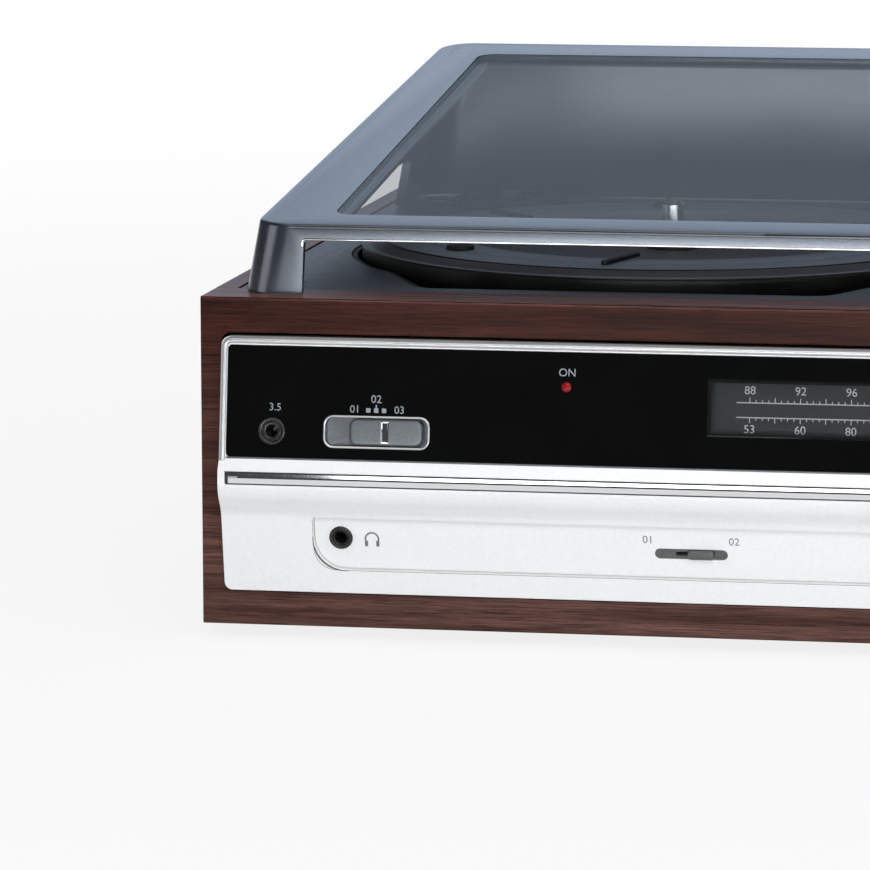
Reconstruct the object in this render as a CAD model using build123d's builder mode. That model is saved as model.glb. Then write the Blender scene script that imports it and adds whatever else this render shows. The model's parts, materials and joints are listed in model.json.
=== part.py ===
from build123d import *
from math import atan2, cos, degrees, pi, radians, sin, tan
import os

# Stereo music centre: a wooden cabinet with a record deck under a hinged lid, and a tuner front.
# Millimetres. +X is to the right of the front, +Y runs to the back, +Z is up, feet on Z = 0.
# "from the left", "from the front" and "above the base" are measured on the wooden cabinet.

# ---------------------------------------------------------------- cabinet
cabinet_width = 340.0
cabinet_depth = 300.0
cabinet_height = 100.0
board = 6.6  # side and back boards
front_board = 21.5  # the front frame is cut from a thicker board
top_rail = 10.8
bottom_rail = 10.2
base_thickness = 5.0
foot_height = 4.0
foot_radius = 9.0
foot_inset = 30.0
cleat_width = 10.0  # ledge along each side that carries the deck
cleat_height = 10.0
cleat_block = 24.0  # wider block at each end of the ledge, for the deck's screws
screw_from_board = 14.0
screw_from_front = 40.0
screw_from_back = 32.0
screw_radius = 1.6
screw_head = 3.2
seat_gap = 0.3  # between a part and the piece that it drops into
slide_gap = 0.25  # round a slider in its slot
shaft_gap = 0.05  # radial, a shaft in its own bush

# ---------------------------------------------------------------- front panel
panel_inset = 0.3  # to the cabinet's window, at the sides and below
panel_top_gap = 1.1
panel_top_proud = 1.55  # the panel's top edge stands this far ahead of the wood
panel_lean = 8.0  # degrees that the black window leans back
panel_wall = 2.2
panel_back = 6.0  # how far the panel's rim reaches into the wood
panel_corner = 2.4
bezel = 2.3  # silver frame above the black window
bezel_side = 2.0
window_height = 33.9
window_pocket = 1.9
window_gap = 0.15
window_ledge = 2.4  # rebate that the black window is glued to
ledge_pad = 2.2  # thickness of that rebate
nose_top_proud = 8.9
nose_top_height = 48.3
nose_bottom_proud = 9.1
nose_bottom_height = 44.2
swell_proud = 6.9  # where the curve under the nose turns from hollow to round
swell_height = 38.6
swell_hollow = 0.55
lower_lean = 10.2  # degrees that the lower panel leans in towards its foot
lower_length = 22.5
strip_channel_height = 4.0
strip_channel_depth = 1.4
strip_height = 3.1
strip_rise = 0.9
strip_gap = 1.1
insert_from_left = 35.2
insert_bottom = 7.45
insert_top = 24.0
insert_corner = 9.8
insert_depth = 1.6
insert_plate = 1.4
insert_lip = 1.5

# ---------------------------------------------------------------- front controls
jack_from_left = 23.0
jack_drop = 28.1  # down the black window's slope from the panel's top edge
jack_ring = 4.2
jack_bore = 1.8
jack_bore_depth = 14.0
headphone_from_left = 43.3
headphone_rise = 17.2  # up the lower panel's slope from its foot
headphone_ring = 3.65
led_from_left = 112.6
led_drop = 12.85
led_radius = 1.5
switch_from_left = 55.1
switch_drop = 27.8
switch_length = 32.5
switch_width = 9.9
switch_wall = 0.6
switch_travel = 4.8
slider_length = 22.4
slider_from_left = 58.0
band_from_left = 150.0
band_rise = 15.0
band_length = 22.0
band_width = 3.2
band_travel = 6.0
band_thumb = 8.0
knob_radius = 11.0
knob_length = 13.0
knob_lift = 1.0  # between the black window and the knob's skirt
knob_edge = 1.2
knob_drop = 19.0
volume_from_right = 61.0
tuning_from_right = 28.0
shaft_radius = 3.0
bush_radius = 4.2
dial_from_right = 135.0
dial_drop = 18.0
dial_length = 100.0
dial_height = 17.0
scale_margin = 4.0  # the scale plate reaches past the lens, all round but for its top
pointer_margin = 10.0  # the pointer stops this far inside the lens
scale_depth = 6.0
rail_depth = 9.0
rail_drop = 3.7
drum_depth = 11.0
drum_thickness = 4.0
chassis_depth = 20.0
chassis_sheet = 1.2

# ---------------------------------------------------------------- record deck
deck_drop = 0.4  # deck surface below the wood's top
deck_sheet = 3.0
platter_from_left = 123.0
platter_from_front = 135.6
platter_radius = 99.0
platter_rim_rise = 3.1  # this and the other rises are over the wooden top
platter_ring_rise = 5.5
platter_ring_radius = 93.5
label_radius = 67.0
label_rise = 1.3
platter_sheet = 2.5
skirt_drop = 10.0
well_gap = 1.6
well_depth = 14.0  # below the wooden top
well_wall = 1.4
well_floor = 2.0
well_flange = 3.0
hand_well_front = 61.5  # half width of the squared front of the well
hand_well_back = 77.3
hand_well_depth = 64.9  # from the platter's centre forward, to where the well widens
hand_well_corner = 8.0
belt_rim_radius = 60.0
belt_rim_depth = 10.0  # below the wooden top, and so is the hub
belt_thickness = 0.8
belt_width = 5.0
hub_radius = 8.0
hub_depth = 7.0
spindle_radius = 3.55
bearing_radius = 3.9  # of the spindle inside the platter
spindle_rise = 17.0
pulley_radius = 5.0
pulley_distance = 80.0
motor_radius = 19.0
motor_height = 26.0
pad_radius = 4.5
pad_rise = 1.2
pad_circle = 78.1
pad_angle = 220.6
rib_outer = (-8.6, -83.3)  # ends of a rib, from the platter's centre
rib_inner = (-1.6, -60.1)
rib_width = 2.2
pads = 3
cap_radius = 9.0
cap_rise = 1.5
disc_from_left = 48.0  # the adaptor disc
disc_from_back = 40.0
controls_from_right = 34.0  # the speed and stop controls on the deck

# ---------------------------------------------------------------- tonearm
arm_from_platter = 172.0  # pivot to spindle
arm_offset_x = 145.0
arm_length = 187.0  # pivot to stylus
arm_rest_angle = 3.0  # degrees outward at rest
arm_rise = 20.0  # the arm's axis at its pivot, over the wooden top
head_rise = 16.0  # the arm's axis above the stylus
arm_tube_radius = 3.0
arm_base_radius = 17.0
arm_base_rise = 9.0
arm_plate = 2.5  # foot plate of the arm's base
stub_radius = 4.0  # upright shaft that the arm swings on
yoke_radius = 13.0
yoke_cheek = 3.0
yoke_mouth = 14.0
trunnion_radius = 1.5
rest_distance = 130.0
weight_radius = 11.0
weight_length = 20.0
weight_distance = 20.0
lift_distance = 30.0  # the lift bar lies across under the arm, this far from its pivot
lift_radius = 2.4
lift_flat = 1.9  # the bar's flat, from its own axis, which faces up while the arm is down
lift_room = 0.4  # between that flat and the arm
lift_reach = 40.0  # the bar's left bearing, from the arm's pivot
cue_from_pivot = 25.0
cue_length = 20.0
stylus_rise = 8.8

# ---------------------------------------------------------------- lid
lid_from_left = 10.3
lid_from_front = 9.0
lid_back = 287.0
lid_gap = 0.3  # over the wood
lid_side_draft = 10.7
lid_front_rise = 21.05
lid_front_draft = 1.0
lid_slope = 6.5
lid_wall = 3.0
lid_corner = 11.5
mouth_from_left = 29.3
mouth_lean = 2.5
mouth_corner = 1.5
mouth_rise = 16.4
side_mouth_from_front = 24.0
side_mouth_length = 222.0
pane_front = 24.0
pane_back = 268.0
pane_half_width = 134.0
pane_thickness = 1.5
pane_ledge = 4.0
hinge_from_left = 62.0
hinge_back = 5.5  # pin in front of the cabinet's back
hinge_rise = 5.8
pin_radius = 1.5
knuckle_radius = 3.5
knuckle_length = 14.0
ear_thickness = 4.0

# ---------------------------------------------------------------- back and inside
rear_plate_length = 190.0
rear_plate_height = 46.0
rear_plate_level = 42.0
rear_plate_thickness = 2.0
rear_opening_margin = 8.0
socket_reach = 8.0
socket_radius = 4.2
circuit_level = 11.0
circuit_depth = 150.0
circuit_sheet = 1.6
circuit_from_left = 65.0  # the board reaches from here to its distance from the right
circuit_from_right = 85.0
circuit_from_front = 180.0
transformer = (52.0, 42.0, 40.0)
transformer_from_right = 44.0
transformer_from_back = 45.0

# ---------------------------------------------------------------- worked out
half_width = cabinet_width / 2
lean = radians(panel_lean)
lower = radians(lower_lean)
window_top_edge = cabinet_height - top_rail - panel_top_gap
slope_length = bezel + window_height + 0.6
knob_reach = (
    panel_top_proud
    + knob_drop * sin(lean)
    + (knob_lift + knob_length - knob_edge) * cos(lean)
    + (knob_radius - knob_edge) * sin(lean)
    + knob_edge
)
rear_reach = rear_plate_thickness + socket_reach
front_y = (knob_reach - rear_reach - cabinet_depth) / 2
platter_x = platter_from_left - half_width
platter_y = front_y + platter_from_front
deck_top = foot_height + cabinet_height - deck_drop
well_radius = platter_radius + well_gap
arm_x = platter_x + arm_offset_x
arm_y = platter_y + (arm_from_platter**2 - arm_offset_x**2) ** 0.5
platter_rim_height = cabinet_height + platter_rim_rise
platter_ring_height = cabinet_height + platter_ring_rise
label_height = cabinet_height + label_rise
well_floor_height = cabinet_height - well_depth
belt_rim_bottom = cabinet_height - belt_rim_depth
hub_bottom = cabinet_height - hub_depth
spindle_top = cabinet_height + spindle_rise
arm_height = cabinet_height + arm_rise
head_height = cabinet_height + head_rise
arm_base_top = cabinet_height + arm_base_rise
stylus_height = cabinet_height + stylus_rise
lid_front_height = cabinet_height + lid_front_rise
mouth_height = cabinet_height + mouth_rise
hinge_height = cabinet_height + hinge_rise
scale_length = dial_length + 2 * scale_margin
scale_height = dial_height + scale_margin + 3
pointer_travel = dial_length - 2 * pointer_margin
drum_radius = pointer_travel / pi
circuit_length = cabinet_width - circuit_from_left - circuit_from_right


def from_left(distance):
    return distance - half_width


def from_right(distance):
    return half_width - distance


def from_front(distance):
    return front_y + distance


def from_back(distance):
    return front_y + cabinet_depth - distance


def above_base(height):
    return foot_height + height


dial_x = from_right(dial_from_right)
volume_x = from_right(volume_from_right)
tuning_x = from_right(tuning_from_right)


def upper_plane(depth=0.0):
    """The black window's slope, with its origin on the panel's top edge and its Y axis up the slope."""
    face = Plane(
        origin=(0, front_y - panel_top_proud, above_base(window_top_edge)),
        x_dir=(1, 0, 0),
        z_dir=(0, -cos(lean), sin(lean)),
    )
    return face.offset(-depth)


def lower_plane(depth=0.0):
    """The lower panel's slope, with its origin at the panel's foot and its Y axis up the slope."""
    foot = above_base(bottom_rail + panel_inset)
    face = Plane(origin=(0, front_y, foot), x_dir=(1, 0, 0), z_dir=(0, -cos(lower), -sin(lower)))
    return face.offset(-depth)


def level(height):
    """A horizontal plane at a height above the cabinet's base."""
    return Plane.XY.offset(above_base(height))


def loop(plane, wheels, grow):
    """What a taut belt round some wheels encloses: each wheel is its centre and its radius."""
    with BuildSketch(plane) as enclosed:
        for centre, radius in wheels:
            with Locations(centre):
                Circle(radius + grow)
        make_hull()
    return enclosed.sketch


# ================================================================ wooden cabinet
window_length = cabinet_width - 2 * board
window_rise = cabinet_height - top_rail - bottom_rail
with BuildPart() as front_frame:
    with BuildSketch(Plane.XZ.offset(-front_y)):
        with Locations((0, above_base(cabinet_height / 2))):
            Rectangle(cabinet_width, cabinet_height)
        with Locations((0, above_base(bottom_rail + window_rise / 2))):
            Rectangle(window_length, window_rise, mode=Mode.SUBTRACT)
    extrude(amount=-front_board)
    chamfer(front_frame.edges().group_by(Axis.Y)[0].group_by(Axis.Z)[-1], length=0.4)
front_frame.part.label = "front_frame"

side_length = cabinet_depth - front_board
screw_x = half_width - board - screw_from_board
screw_rows = (from_front(screw_from_front), from_back(screw_from_back))
screw_places = [(side * screw_x, row) for side in (-1, 1) for row in screw_rows]
cleat_top = cabinet_height - deck_drop - deck_sheet


with BuildPart() as side_boards:
    for side in (-1, 1):
        with BuildSketch(Plane.XY.offset(foot_height)):
            with Locations((side * (half_width - board / 2), from_front(front_board + side_length / 2))):
                Rectangle(board, side_length)
        extrude(amount=cabinet_height)
        with BuildSketch(level(cleat_top)):
            with Locations((side * (half_width - board - cleat_width / 2), from_front(cabinet_depth / 2))):
                Rectangle(cleat_width, cabinet_depth - 50)
            with Locations(*[place for place in screw_places if place[0] * side > 0]):
                with Locations((side * (screw_from_board - cleat_block / 2), 0)):
                    Rectangle(cleat_block, cleat_block)
        extrude(amount=-cleat_height)
    with BuildSketch(level(cleat_top)):
        with Locations(*screw_places):
            Circle(screw_radius)
    extrude(amount=-cleat_height, mode=Mode.SUBTRACT)
side_boards.part.label = "side_boards"

rear_face = Plane.XZ.offset(-from_front(cabinet_depth))
rear_plate_x = 0.0
with BuildPart() as back_board:
    with BuildSketch(rear_face):
        with Locations((0, above_base(cabinet_height / 2))):
            Rectangle(window_length, cabinet_height)
        with Locations((rear_plate_x, above_base(rear_plate_level))):
            Rectangle(
                rear_plate_length - 2 * rear_opening_margin,
                rear_plate_height - 2 * rear_opening_margin,
                mode=Mode.SUBTRACT,
            )
    extrude(amount=board)
back_board.part.label = "back_board"

base_depth = cabinet_depth - front_board - board
with BuildPart() as base_board:
    with BuildSketch(Plane.XY.offset(foot_height)):
        with Locations((0, from_front(front_board + base_depth / 2))):
            Rectangle(window_length, base_depth)
    extrude(amount=base_thickness)
    with BuildSketch(Plane.XY.offset(foot_height)):
        with Locations((0, from_front(circuit_from_front))):
            with GridLocations(14, 60, 7, 2):
                SlotOverall(40, 4, rotation=90)
    extrude(amount=base_thickness, mode=Mode.SUBTRACT)
base_board.part.label = "base_board"

foot_centre_y = from_front(cabinet_depth / 2)
with BuildPart() as rubber_feet:
    with BuildSketch(Plane.XY):
        with Locations((0, foot_centre_y)):
            with GridLocations(cabinet_width - 2 * foot_inset, cabinet_depth - 2 * foot_inset, 2, 2):
                Circle(foot_radius - 1)
                Circle(2.5, mode=Mode.SUBTRACT)
    extrude(amount=foot_height, taper=-14)
rubber_feet.part.label = "rubber_feet"

# ================================================================ silver front panel
panel_half = half_width - board - panel_inset
panel_foot = bottom_rail + panel_inset
ledge_proud = panel_top_proud + slope_length * sin(lean)
ledge_height = window_top_edge - slope_length * cos(lean)
lower_proud = lower_length * sin(lower)
lower_height = panel_foot + lower_length * cos(lower)


def in_section(proud, height):
    """A point of the panel's section, from how far it stands ahead of the wood and its height."""
    return (front_y - proud, above_base(height))


with BuildSketch(Plane.YZ) as panel_section:
    with BuildLine():
        Polyline(
            in_section(nose_bottom_proud, nose_bottom_height),
            in_section(nose_top_proud, nose_top_height),
            in_section(ledge_proud, ledge_height),
            in_section(panel_top_proud, window_top_edge),
            in_section(-panel_back, window_top_edge),
            in_section(-panel_back, panel_foot),
            in_section(0, panel_foot),
            in_section(lower_proud, lower_height),
        )
        ThreePointArc(
            in_section(lower_proud, lower_height),
            in_section((lower_proud + swell_proud) / 2 - swell_hollow, (lower_height + swell_height) / 2),
            in_section(swell_proud, swell_height),
        )
        ThreePointArc(
            in_section(swell_proud, swell_height),
            in_section(
                (swell_proud + nose_bottom_proud) / 2 + swell_hollow,
                (swell_height + nose_bottom_height) / 2,
            ),
            in_section(nose_bottom_proud, nose_bottom_height),
        )
    make_face()

with BuildSketch(Plane.YZ) as panel_hollow:
    add(panel_section.sketch_local)
    offset(amount=-panel_wall)
    with Locations(in_section(-panel_back, (panel_foot + window_top_edge) / 2)):
        Rectangle(2 * panel_wall + 1, window_top_edge - panel_foot - 2 * panel_wall)

with BuildPart() as front_panel:
    extrude(panel_section.sketch, amount=panel_half, both=True)
    fillet(front_panel.edges().filter_by(Axis.Y), radius=panel_corner)
    extrude(panel_hollow.sketch, amount=panel_half - panel_wall, both=True, mode=Mode.SUBTRACT)
    # The pad behind the black window, then its pocket and the opening through both.
    window_centre = -(bezel + window_height / 2)
    with BuildSketch(upper_plane(window_pocket)):
        with Locations((0, window_centre)):
            Rectangle(2 * panel_half - 2 * panel_wall + 0.4, window_height + 2 * window_ledge - 1.6)
    extrude(amount=-ledge_pad)
    window_half = panel_half - bezel_side
    with BuildSketch(upper_plane()):
        with Locations((0, window_centre)):
            RectangleRounded(2 * window_half, window_height, 1.4)
    extrude(amount=-window_pocket, mode=Mode.SUBTRACT)
    with BuildSketch(upper_plane()):
        with Locations((0, window_centre)):
            Rectangle(2 * (window_half - window_ledge), window_height - 2 * window_ledge)
    extrude(amount=-(window_pocket + ledge_pad + 1), mode=Mode.SUBTRACT)
    # The channel round the chrome strip, and the opening for the lower insert.
    nose_middle = above_base((nose_top_height + nose_bottom_height) / 2)
    strip_centre = nose_middle - 0.05
    channel_floor = Plane.XZ.offset(-(front_y - nose_top_proud + strip_channel_depth))
    with BuildSketch(channel_floor):
        with Locations((0, strip_centre)):
            Rectangle(2 * (panel_half - bezel_side - 0.2), strip_channel_height)
    extrude(amount=3, mode=Mode.SUBTRACT)
    insert_half = half_width - insert_from_left
    insert_middle = (insert_bottom + insert_top) / 2
    insert_height = insert_top - insert_bottom
    with BuildSketch(lower_plane(-4)) as insert_opening:
        with Locations((0, insert_middle)):
            Rectangle(2 * insert_half, insert_height)
        fillet(insert_opening.vertices().group_by(Axis.Y)[0], radius=insert_corner)
    extrude(amount=-(4 + 2 * panel_wall + 1), mode=Mode.SUBTRACT)
front_panel.part.label = "front_panel"

with BuildPart() as chrome_strip:
    strip_half = panel_half - bezel_side - 0.2 - strip_gap
    with BuildSketch(channel_floor):
        with Locations((0, strip_centre)):
            Rectangle(2 * strip_half, strip_height)
    extrude(amount=strip_channel_depth + 0.2)
    with BuildSketch(channel_floor.offset(strip_channel_depth + 0.2)):
        with Locations((0, strip_centre)):
            Rectangle(2 * strip_half, strip_height)
    extrude(amount=strip_rise, taper=58)
chrome_strip.part.label = "chrome_strip"

# ================================================================ black window and its dial
with BuildPart() as dial_window:
    with BuildSketch(upper_plane(window_pocket)):
        with Locations((0, window_centre)):
            RectangleRounded(2 * (window_half - window_gap), window_height - 2 * window_gap, 1.3)
        with Locations((from_left(jack_from_left), -jack_drop)):
            Circle(jack_ring - 0.6 + 0.15, mode=Mode.SUBTRACT)
        with Locations((from_left(switch_from_left), -switch_drop)):
            RectangleRounded(switch_length + 0.2, switch_width + 0.2, 3.1, mode=Mode.SUBTRACT)
        with Locations((from_left(led_from_left), -led_drop)):
            Circle(led_radius + 0.05, mode=Mode.SUBTRACT)
        with Locations((from_right(volume_from_right), -knob_drop), (from_right(tuning_from_right), -knob_drop)):
            Circle(bush_radius + 0.3, mode=Mode.SUBTRACT)
        with Locations((dial_x, -dial_drop)):
            Rectangle(dial_length - 2, dial_height - 2, mode=Mode.SUBTRACT)
    extrude(amount=window_pocket - 0.1)
    with BuildSketch(upper_plane(0.1)):
        with Locations((dial_x, -dial_drop)):
            Rectangle(dial_length, dial_height)
    extrude(amount=-1.2, mode=Mode.SUBTRACT)
dial_window.part.label = "dial_window"

with BuildPart() as dial_lens:
    with BuildSketch(upper_plane(1.3)):
        with Locations((dial_x, -dial_drop)):
            Rectangle(dial_length - 2 * window_gap, dial_height - 2 * window_gap)
    extrude(amount=1.1)
dial_lens.part.label = "dial_lens"

with BuildPart() as dial_scale:
    with BuildSketch(upper_plane(scale_depth + 1)):
        with Locations((dial_x, -dial_drop)):
            Rectangle(scale_length, scale_height)
    extrude(amount=1)
dial_scale.part.label = "dial_scale"

# ================================================================ jacks and power lamp


def jack(face, x, y, ring, front_depth, panel_depth):
    """A 3.5 mm socket: dished ring, bush through the panel and a moulded body behind it."""
    with BuildPart() as socket:
        with BuildSketch(face(panel_depth)):
            with Locations((x, y)):
                Circle(ring - 0.6)
        extrude(amount=panel_depth - front_depth)
        with BuildSketch(face(front_depth)):
            with Locations((x, y)):
                Circle(ring)
        extrude(amount=0.6, taper=20)
        with BuildSketch(face(panel_depth)):
            with Locations((x, y)):
                RectangleRounded(9, 9, 1)
        extrude(amount=-11)
        with BuildSketch(face(front_depth - 0.6)):
            with Locations((x, y)):
                Circle(ring - 1.1)
        extrude(amount=-0.5, mode=Mode.SUBTRACT)
        with BuildSketch(face(front_depth - 0.6)):
            with Locations((x, y)):
                Circle(jack_bore)
        extrude(amount=-jack_bore_depth, mode=Mode.SUBTRACT)
    return socket.part


insert_back = insert_depth + insert_plate + 0.6
aux_jack = jack(upper_plane, from_left(jack_from_left), -jack_drop, jack_ring, 0.1, window_pocket)
headphone_jack = jack(
    lower_plane, from_left(headphone_from_left), headphone_rise, headphone_ring, insert_depth, insert_back
)
with BuildPart() as jacks:
    add(aux_jack)
    add(headphone_jack)
jacks.part.label = "jacks"

with BuildPart() as power_led:
    with BuildSketch(upper_plane(window_pocket)):
        with Locations((from_left(led_from_left), -led_drop)):
            Circle(led_radius)
    extrude(amount=window_pocket + 0.4)
    fillet(power_led.edges().group_by(Axis.Y)[0], radius=0.7)
    with BuildSketch(upper_plane(window_pocket)):
        with Locations((from_left(led_from_left), -led_drop)):
            Circle(led_radius + 0.5)
    extrude(amount=-4)
power_led.part.label = "power_led"

# ================================================================ function switch
switch_x = from_left(switch_from_left)
slider_x = from_left(slider_from_left)
tray_floor = 3.0
stem_length = 3.0
with BuildPart() as function_switch:
    with BuildSketch(upper_plane(tray_floor + 1)):
        with Locations((switch_x, -switch_drop)):
            RectangleRounded(switch_length, switch_width, 3.0)
    extrude(amount=tray_floor + 1.1)
    with BuildSketch(upper_plane(-0.1)):
        with Locations((switch_x, -switch_drop)):
            RectangleRounded(switch_length - 2 * switch_wall, switch_width - 2 * switch_wall, 2.5)
    extrude(amount=-(tray_floor + 0.1), mode=Mode.SUBTRACT)
    with BuildSketch(upper_plane(tray_floor + 1)):
        with Locations((switch_x, -switch_drop)):
            Rectangle(22, 7)
    extrude(amount=-7)
    with BuildSketch(upper_plane(tray_floor)):
        with Locations((slider_x - switch_travel / 2, -switch_drop)):
            Rectangle(stem_length + switch_travel + 2 * slide_gap, 2 + 2 * slide_gap)
    extrude(amount=-4, mode=Mode.SUBTRACT)
function_switch.part.label = "function_switch"

slider_width = switch_width - 2 * switch_wall - 2 * slide_gap
with BuildPart() as function_slider:
    with BuildSketch(upper_plane(tray_floor - seat_gap)):
        with Locations((slider_x, -switch_drop)):
            RectangleRounded(slider_length, slider_width, 2.4)
    extrude(amount=tray_floor - seat_gap + 0.4)
    chamfer(function_slider.faces().sort_by(Axis.Y)[0].edges(), length=0.55)
    with BuildSketch(upper_plane(-0.3)):
        with Locations((slider_x - 0.2, -switch_drop)):
            Rectangle(2.6, slider_width - 1.4)
    extrude(amount=1.3, taper=8)
    with BuildSketch(upper_plane(tray_floor - seat_gap)):
        with Locations((slider_x, -switch_drop)):
            Rectangle(stem_length, 2)
    extrude(amount=-3)
function_slider.part.label = "function_slider"

# ================================================================ lower insert and band switch
band_x = from_left(band_from_left)
with BuildPart() as control_insert:
    with BuildSketch(lower_plane(panel_wall + insert_plate)) as insert_flange:
        with Locations((0, insert_middle)):
            Rectangle(2 * (insert_half + insert_lip), insert_height + 2 * insert_lip)
        fillet(insert_flange.vertices().group_by(Axis.Y)[0], radius=insert_corner + insert_lip)
    extrude(amount=insert_plate)
    with BuildSketch(lower_plane(panel_wall)) as insert_face:
        with Locations((0, insert_middle)):
            Rectangle(2 * (insert_half - window_gap), insert_height - 2 * window_gap)
        fillet(insert_face.vertices().group_by(Axis.Y)[0], radius=insert_corner - window_gap)
    extrude(amount=panel_wall - insert_depth)
    with BuildSketch(lower_plane()):
        with Locations((band_x, band_rise)):
            SlotOverall(band_length, band_width)
        with Locations((from_left(headphone_from_left), headphone_rise)):
            Circle(headphone_ring - 0.6 + 0.1)
    extrude(amount=-6, mode=Mode.SUBTRACT)
control_insert.part.label = "control_insert"

track_depth = insert_depth + 0.35
with BuildPart() as band_switch:
    with BuildSketch(lower_plane(insert_back)):
        with Locations((band_x, band_rise)):
            SlotOverall(band_length - 2 * window_gap, band_width - 2 * window_gap)
    extrude(amount=insert_back - track_depth)
    with BuildSketch(lower_plane(insert_back)):
        with Locations((band_x, band_rise)):
            Rectangle(band_length + 2, band_width + 2.6)
    extrude(amount=-6)
    with BuildSketch(lower_plane()):
        with Locations((band_x, band_rise)):
            SlotOverall(2 + band_travel + 2 * slide_gap + 1, 1.2)
    extrude(amount=-(insert_back + 3), mode=Mode.SUBTRACT)
band_switch.part.label = "band_switch"

thumb_x = band_x + band_travel / 2
with BuildPart() as band_slider:
    with BuildSketch(lower_plane(track_depth - slide_gap)):
        with Locations((thumb_x, band_rise)):
            RectangleRounded(band_thumb, band_width - 2 * slide_gap, 1.1)
    extrude(amount=track_depth - slide_gap)
    chamfer(band_slider.faces().sort_by(Axis.Y)[0].edges(), length=0.4)
    with BuildSketch(lower_plane(track_depth - slide_gap)):
        with Locations((thumb_x, band_rise)):
            Rectangle(2, 0.7)
    extrude(amount=-3)
band_slider.part.label = "band_slider"

# ================================================================ tuning mechanism behind the window
drum_x = dial_x + 8
drum_drop = 33.0
chassis_left = dial_x - scale_length / 2 - 4
chassis_right = tuning_x + 14
chassis_middle = (chassis_left + chassis_right) / 2
post_radius = 2.2
pad_back = window_pocket + ledge_pad
scale_posts = [(dial_x + side * (scale_length / 2 - 4), -(dial_drop + 9)) for side in (-1, 1)]
panel_posts = [(x, y) for x in (chassis_left + 1.5, chassis_right - 1.5) for y in (-4.1, -35.6)]
pulley_drop = 9.5
pulley_size = 3.5
cord_size = 0.7
cord_gap = 0.1
cord_depth = drum_depth + drum_thickness / 2
left_pulley = (chassis_left + 7, -pulley_drop)
right_pulley = (dial_x + scale_length / 2 + 1, -pulley_drop)
rail_half = scale_length / 2 - 1
rail_axis = upper_plane(rail_depth).from_local_coords(Vector(0, -rail_drop, 0))
rail_point = (rail_axis.Y, rail_axis.Z)
with BuildPart() as dial_chassis:
    with BuildSketch(upper_plane(chassis_depth + chassis_sheet)):
        with Locations((chassis_middle, -31)):
            Rectangle(chassis_right - chassis_left + 2, 60)
        with Locations((drum_x, -drum_drop)):
            Circle(shaft_radius + 1, mode=Mode.SUBTRACT)
        with Locations((tuning_x, -knob_drop)):
            Circle(bush_radius - 0.5, mode=Mode.SUBTRACT)
    extrude(amount=chassis_sheet)
    with BuildSketch(upper_plane(chassis_depth)):
        with Locations(*panel_posts):
            Circle(post_radius)
    extrude(amount=chassis_depth - pad_back)
    with BuildSketch(upper_plane(chassis_depth)):
        with Locations(*scale_posts):
            Circle(post_radius)
    extrude(amount=chassis_depth - scale_depth - 1)
    with BuildSketch(upper_plane(chassis_depth + chassis_sheet)):
        with Locations((tuning_x, -knob_drop)):
            Circle(bush_radius)
            Circle(shaft_radius + shaft_gap, mode=Mode.SUBTRACT)
    extrude(amount=chassis_sheet + 4)
    for pulley in (left_pulley, right_pulley):
        with BuildSketch(upper_plane(chassis_depth)):
            with Locations(pulley):
                Circle(1.2)
        extrude(amount=chassis_depth - cord_depth + 3)
        with BuildSketch(upper_plane(cord_depth + 1.5)):
            with Locations(pulley):
                Circle(pulley_size)
        extrude(amount=3)
    with BuildSketch(Plane.YZ.offset(dial_x - rail_half)):
        with Locations(rail_point):
            Circle(1)
    extrude(amount=2 * rail_half)
    for end in (-1, 1):
        with BuildSketch(upper_plane(chassis_depth)):
            with Locations((dial_x + end * (rail_half - 1), -rail_drop)):
                Rectangle(2, 2.2)
        extrude(amount=chassis_depth - rail_depth + 1)
dial_chassis.part.label = "dial_chassis"

pot_depth = 14.6
with BuildPart() as volume_pot:
    with BuildSketch(upper_plane(chassis_depth)):
        with Locations((volume_x, -knob_drop)):
            Circle(8)
    extrude(amount=chassis_depth - pot_depth)
    with BuildSketch(upper_plane(pot_depth)):
        with Locations((volume_x, -knob_drop)):
            Circle(bush_radius)
    extrude(amount=pot_depth - 1)
    with BuildSketch(upper_plane(chassis_depth - 1)):
        with Locations((volume_x, -knob_drop)):
            Circle(shaft_radius + shaft_gap)
    extrude(amount=chassis_depth, mode=Mode.SUBTRACT)
volume_pot.part.label = "volume_pot"


def knob(x, shaft_end):
    """A turned knob on its shaft, with a pointer groove and a dished face."""
    with BuildPart() as grip:
        with BuildSketch(upper_plane(-knob_lift)):
            with Locations((x, -knob_drop)):
                Circle(knob_radius)
        extrude(amount=knob_length)
        rim = grip.edges().filter_by(GeomType.CIRCLE).sort_by(Axis.Y)[0]
        fillet(rim, radius=knob_edge)
        with BuildSketch(upper_plane(-knob_lift - knob_length)):
            with Locations((x, -knob_drop)):
                Circle(knob_radius - 3)
        extrude(amount=-0.6, mode=Mode.SUBTRACT)
        with BuildSketch(upper_plane(-knob_lift - knob_length + 0.6)):
            with Locations((x, -knob_drop + knob_radius - 5.5)):
                SlotOverall(4.2, 1.1, rotation=90)
        extrude(amount=-0.8, mode=Mode.SUBTRACT)
        with BuildSketch(upper_plane(shaft_end)):
            with Locations((x, -knob_drop)):
                Circle(shaft_radius)
        extrude(amount=shaft_end + knob_lift)
    return grip.part


volume_knob = knob(volume_x, chassis_depth - 1 - seat_gap)
volume_knob.label = "volume_knob"
tuning_knob = knob(tuning_x, chassis_depth + chassis_sheet + 3)
tuning_knob.label = "tuning_knob"

capacitor_depth = 18.0
with BuildPart() as tuning_capacitor:
    with BuildSketch(upper_plane(chassis_depth + chassis_sheet)):
        with Locations((drum_x, -drum_drop)):
            RectangleRounded(24, 24, 1.5)
            Circle(shaft_radius + shaft_gap, mode=Mode.SUBTRACT)
    extrude(amount=-capacitor_depth)
tuning_capacitor.part.label = "tuning_capacitor"

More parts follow.
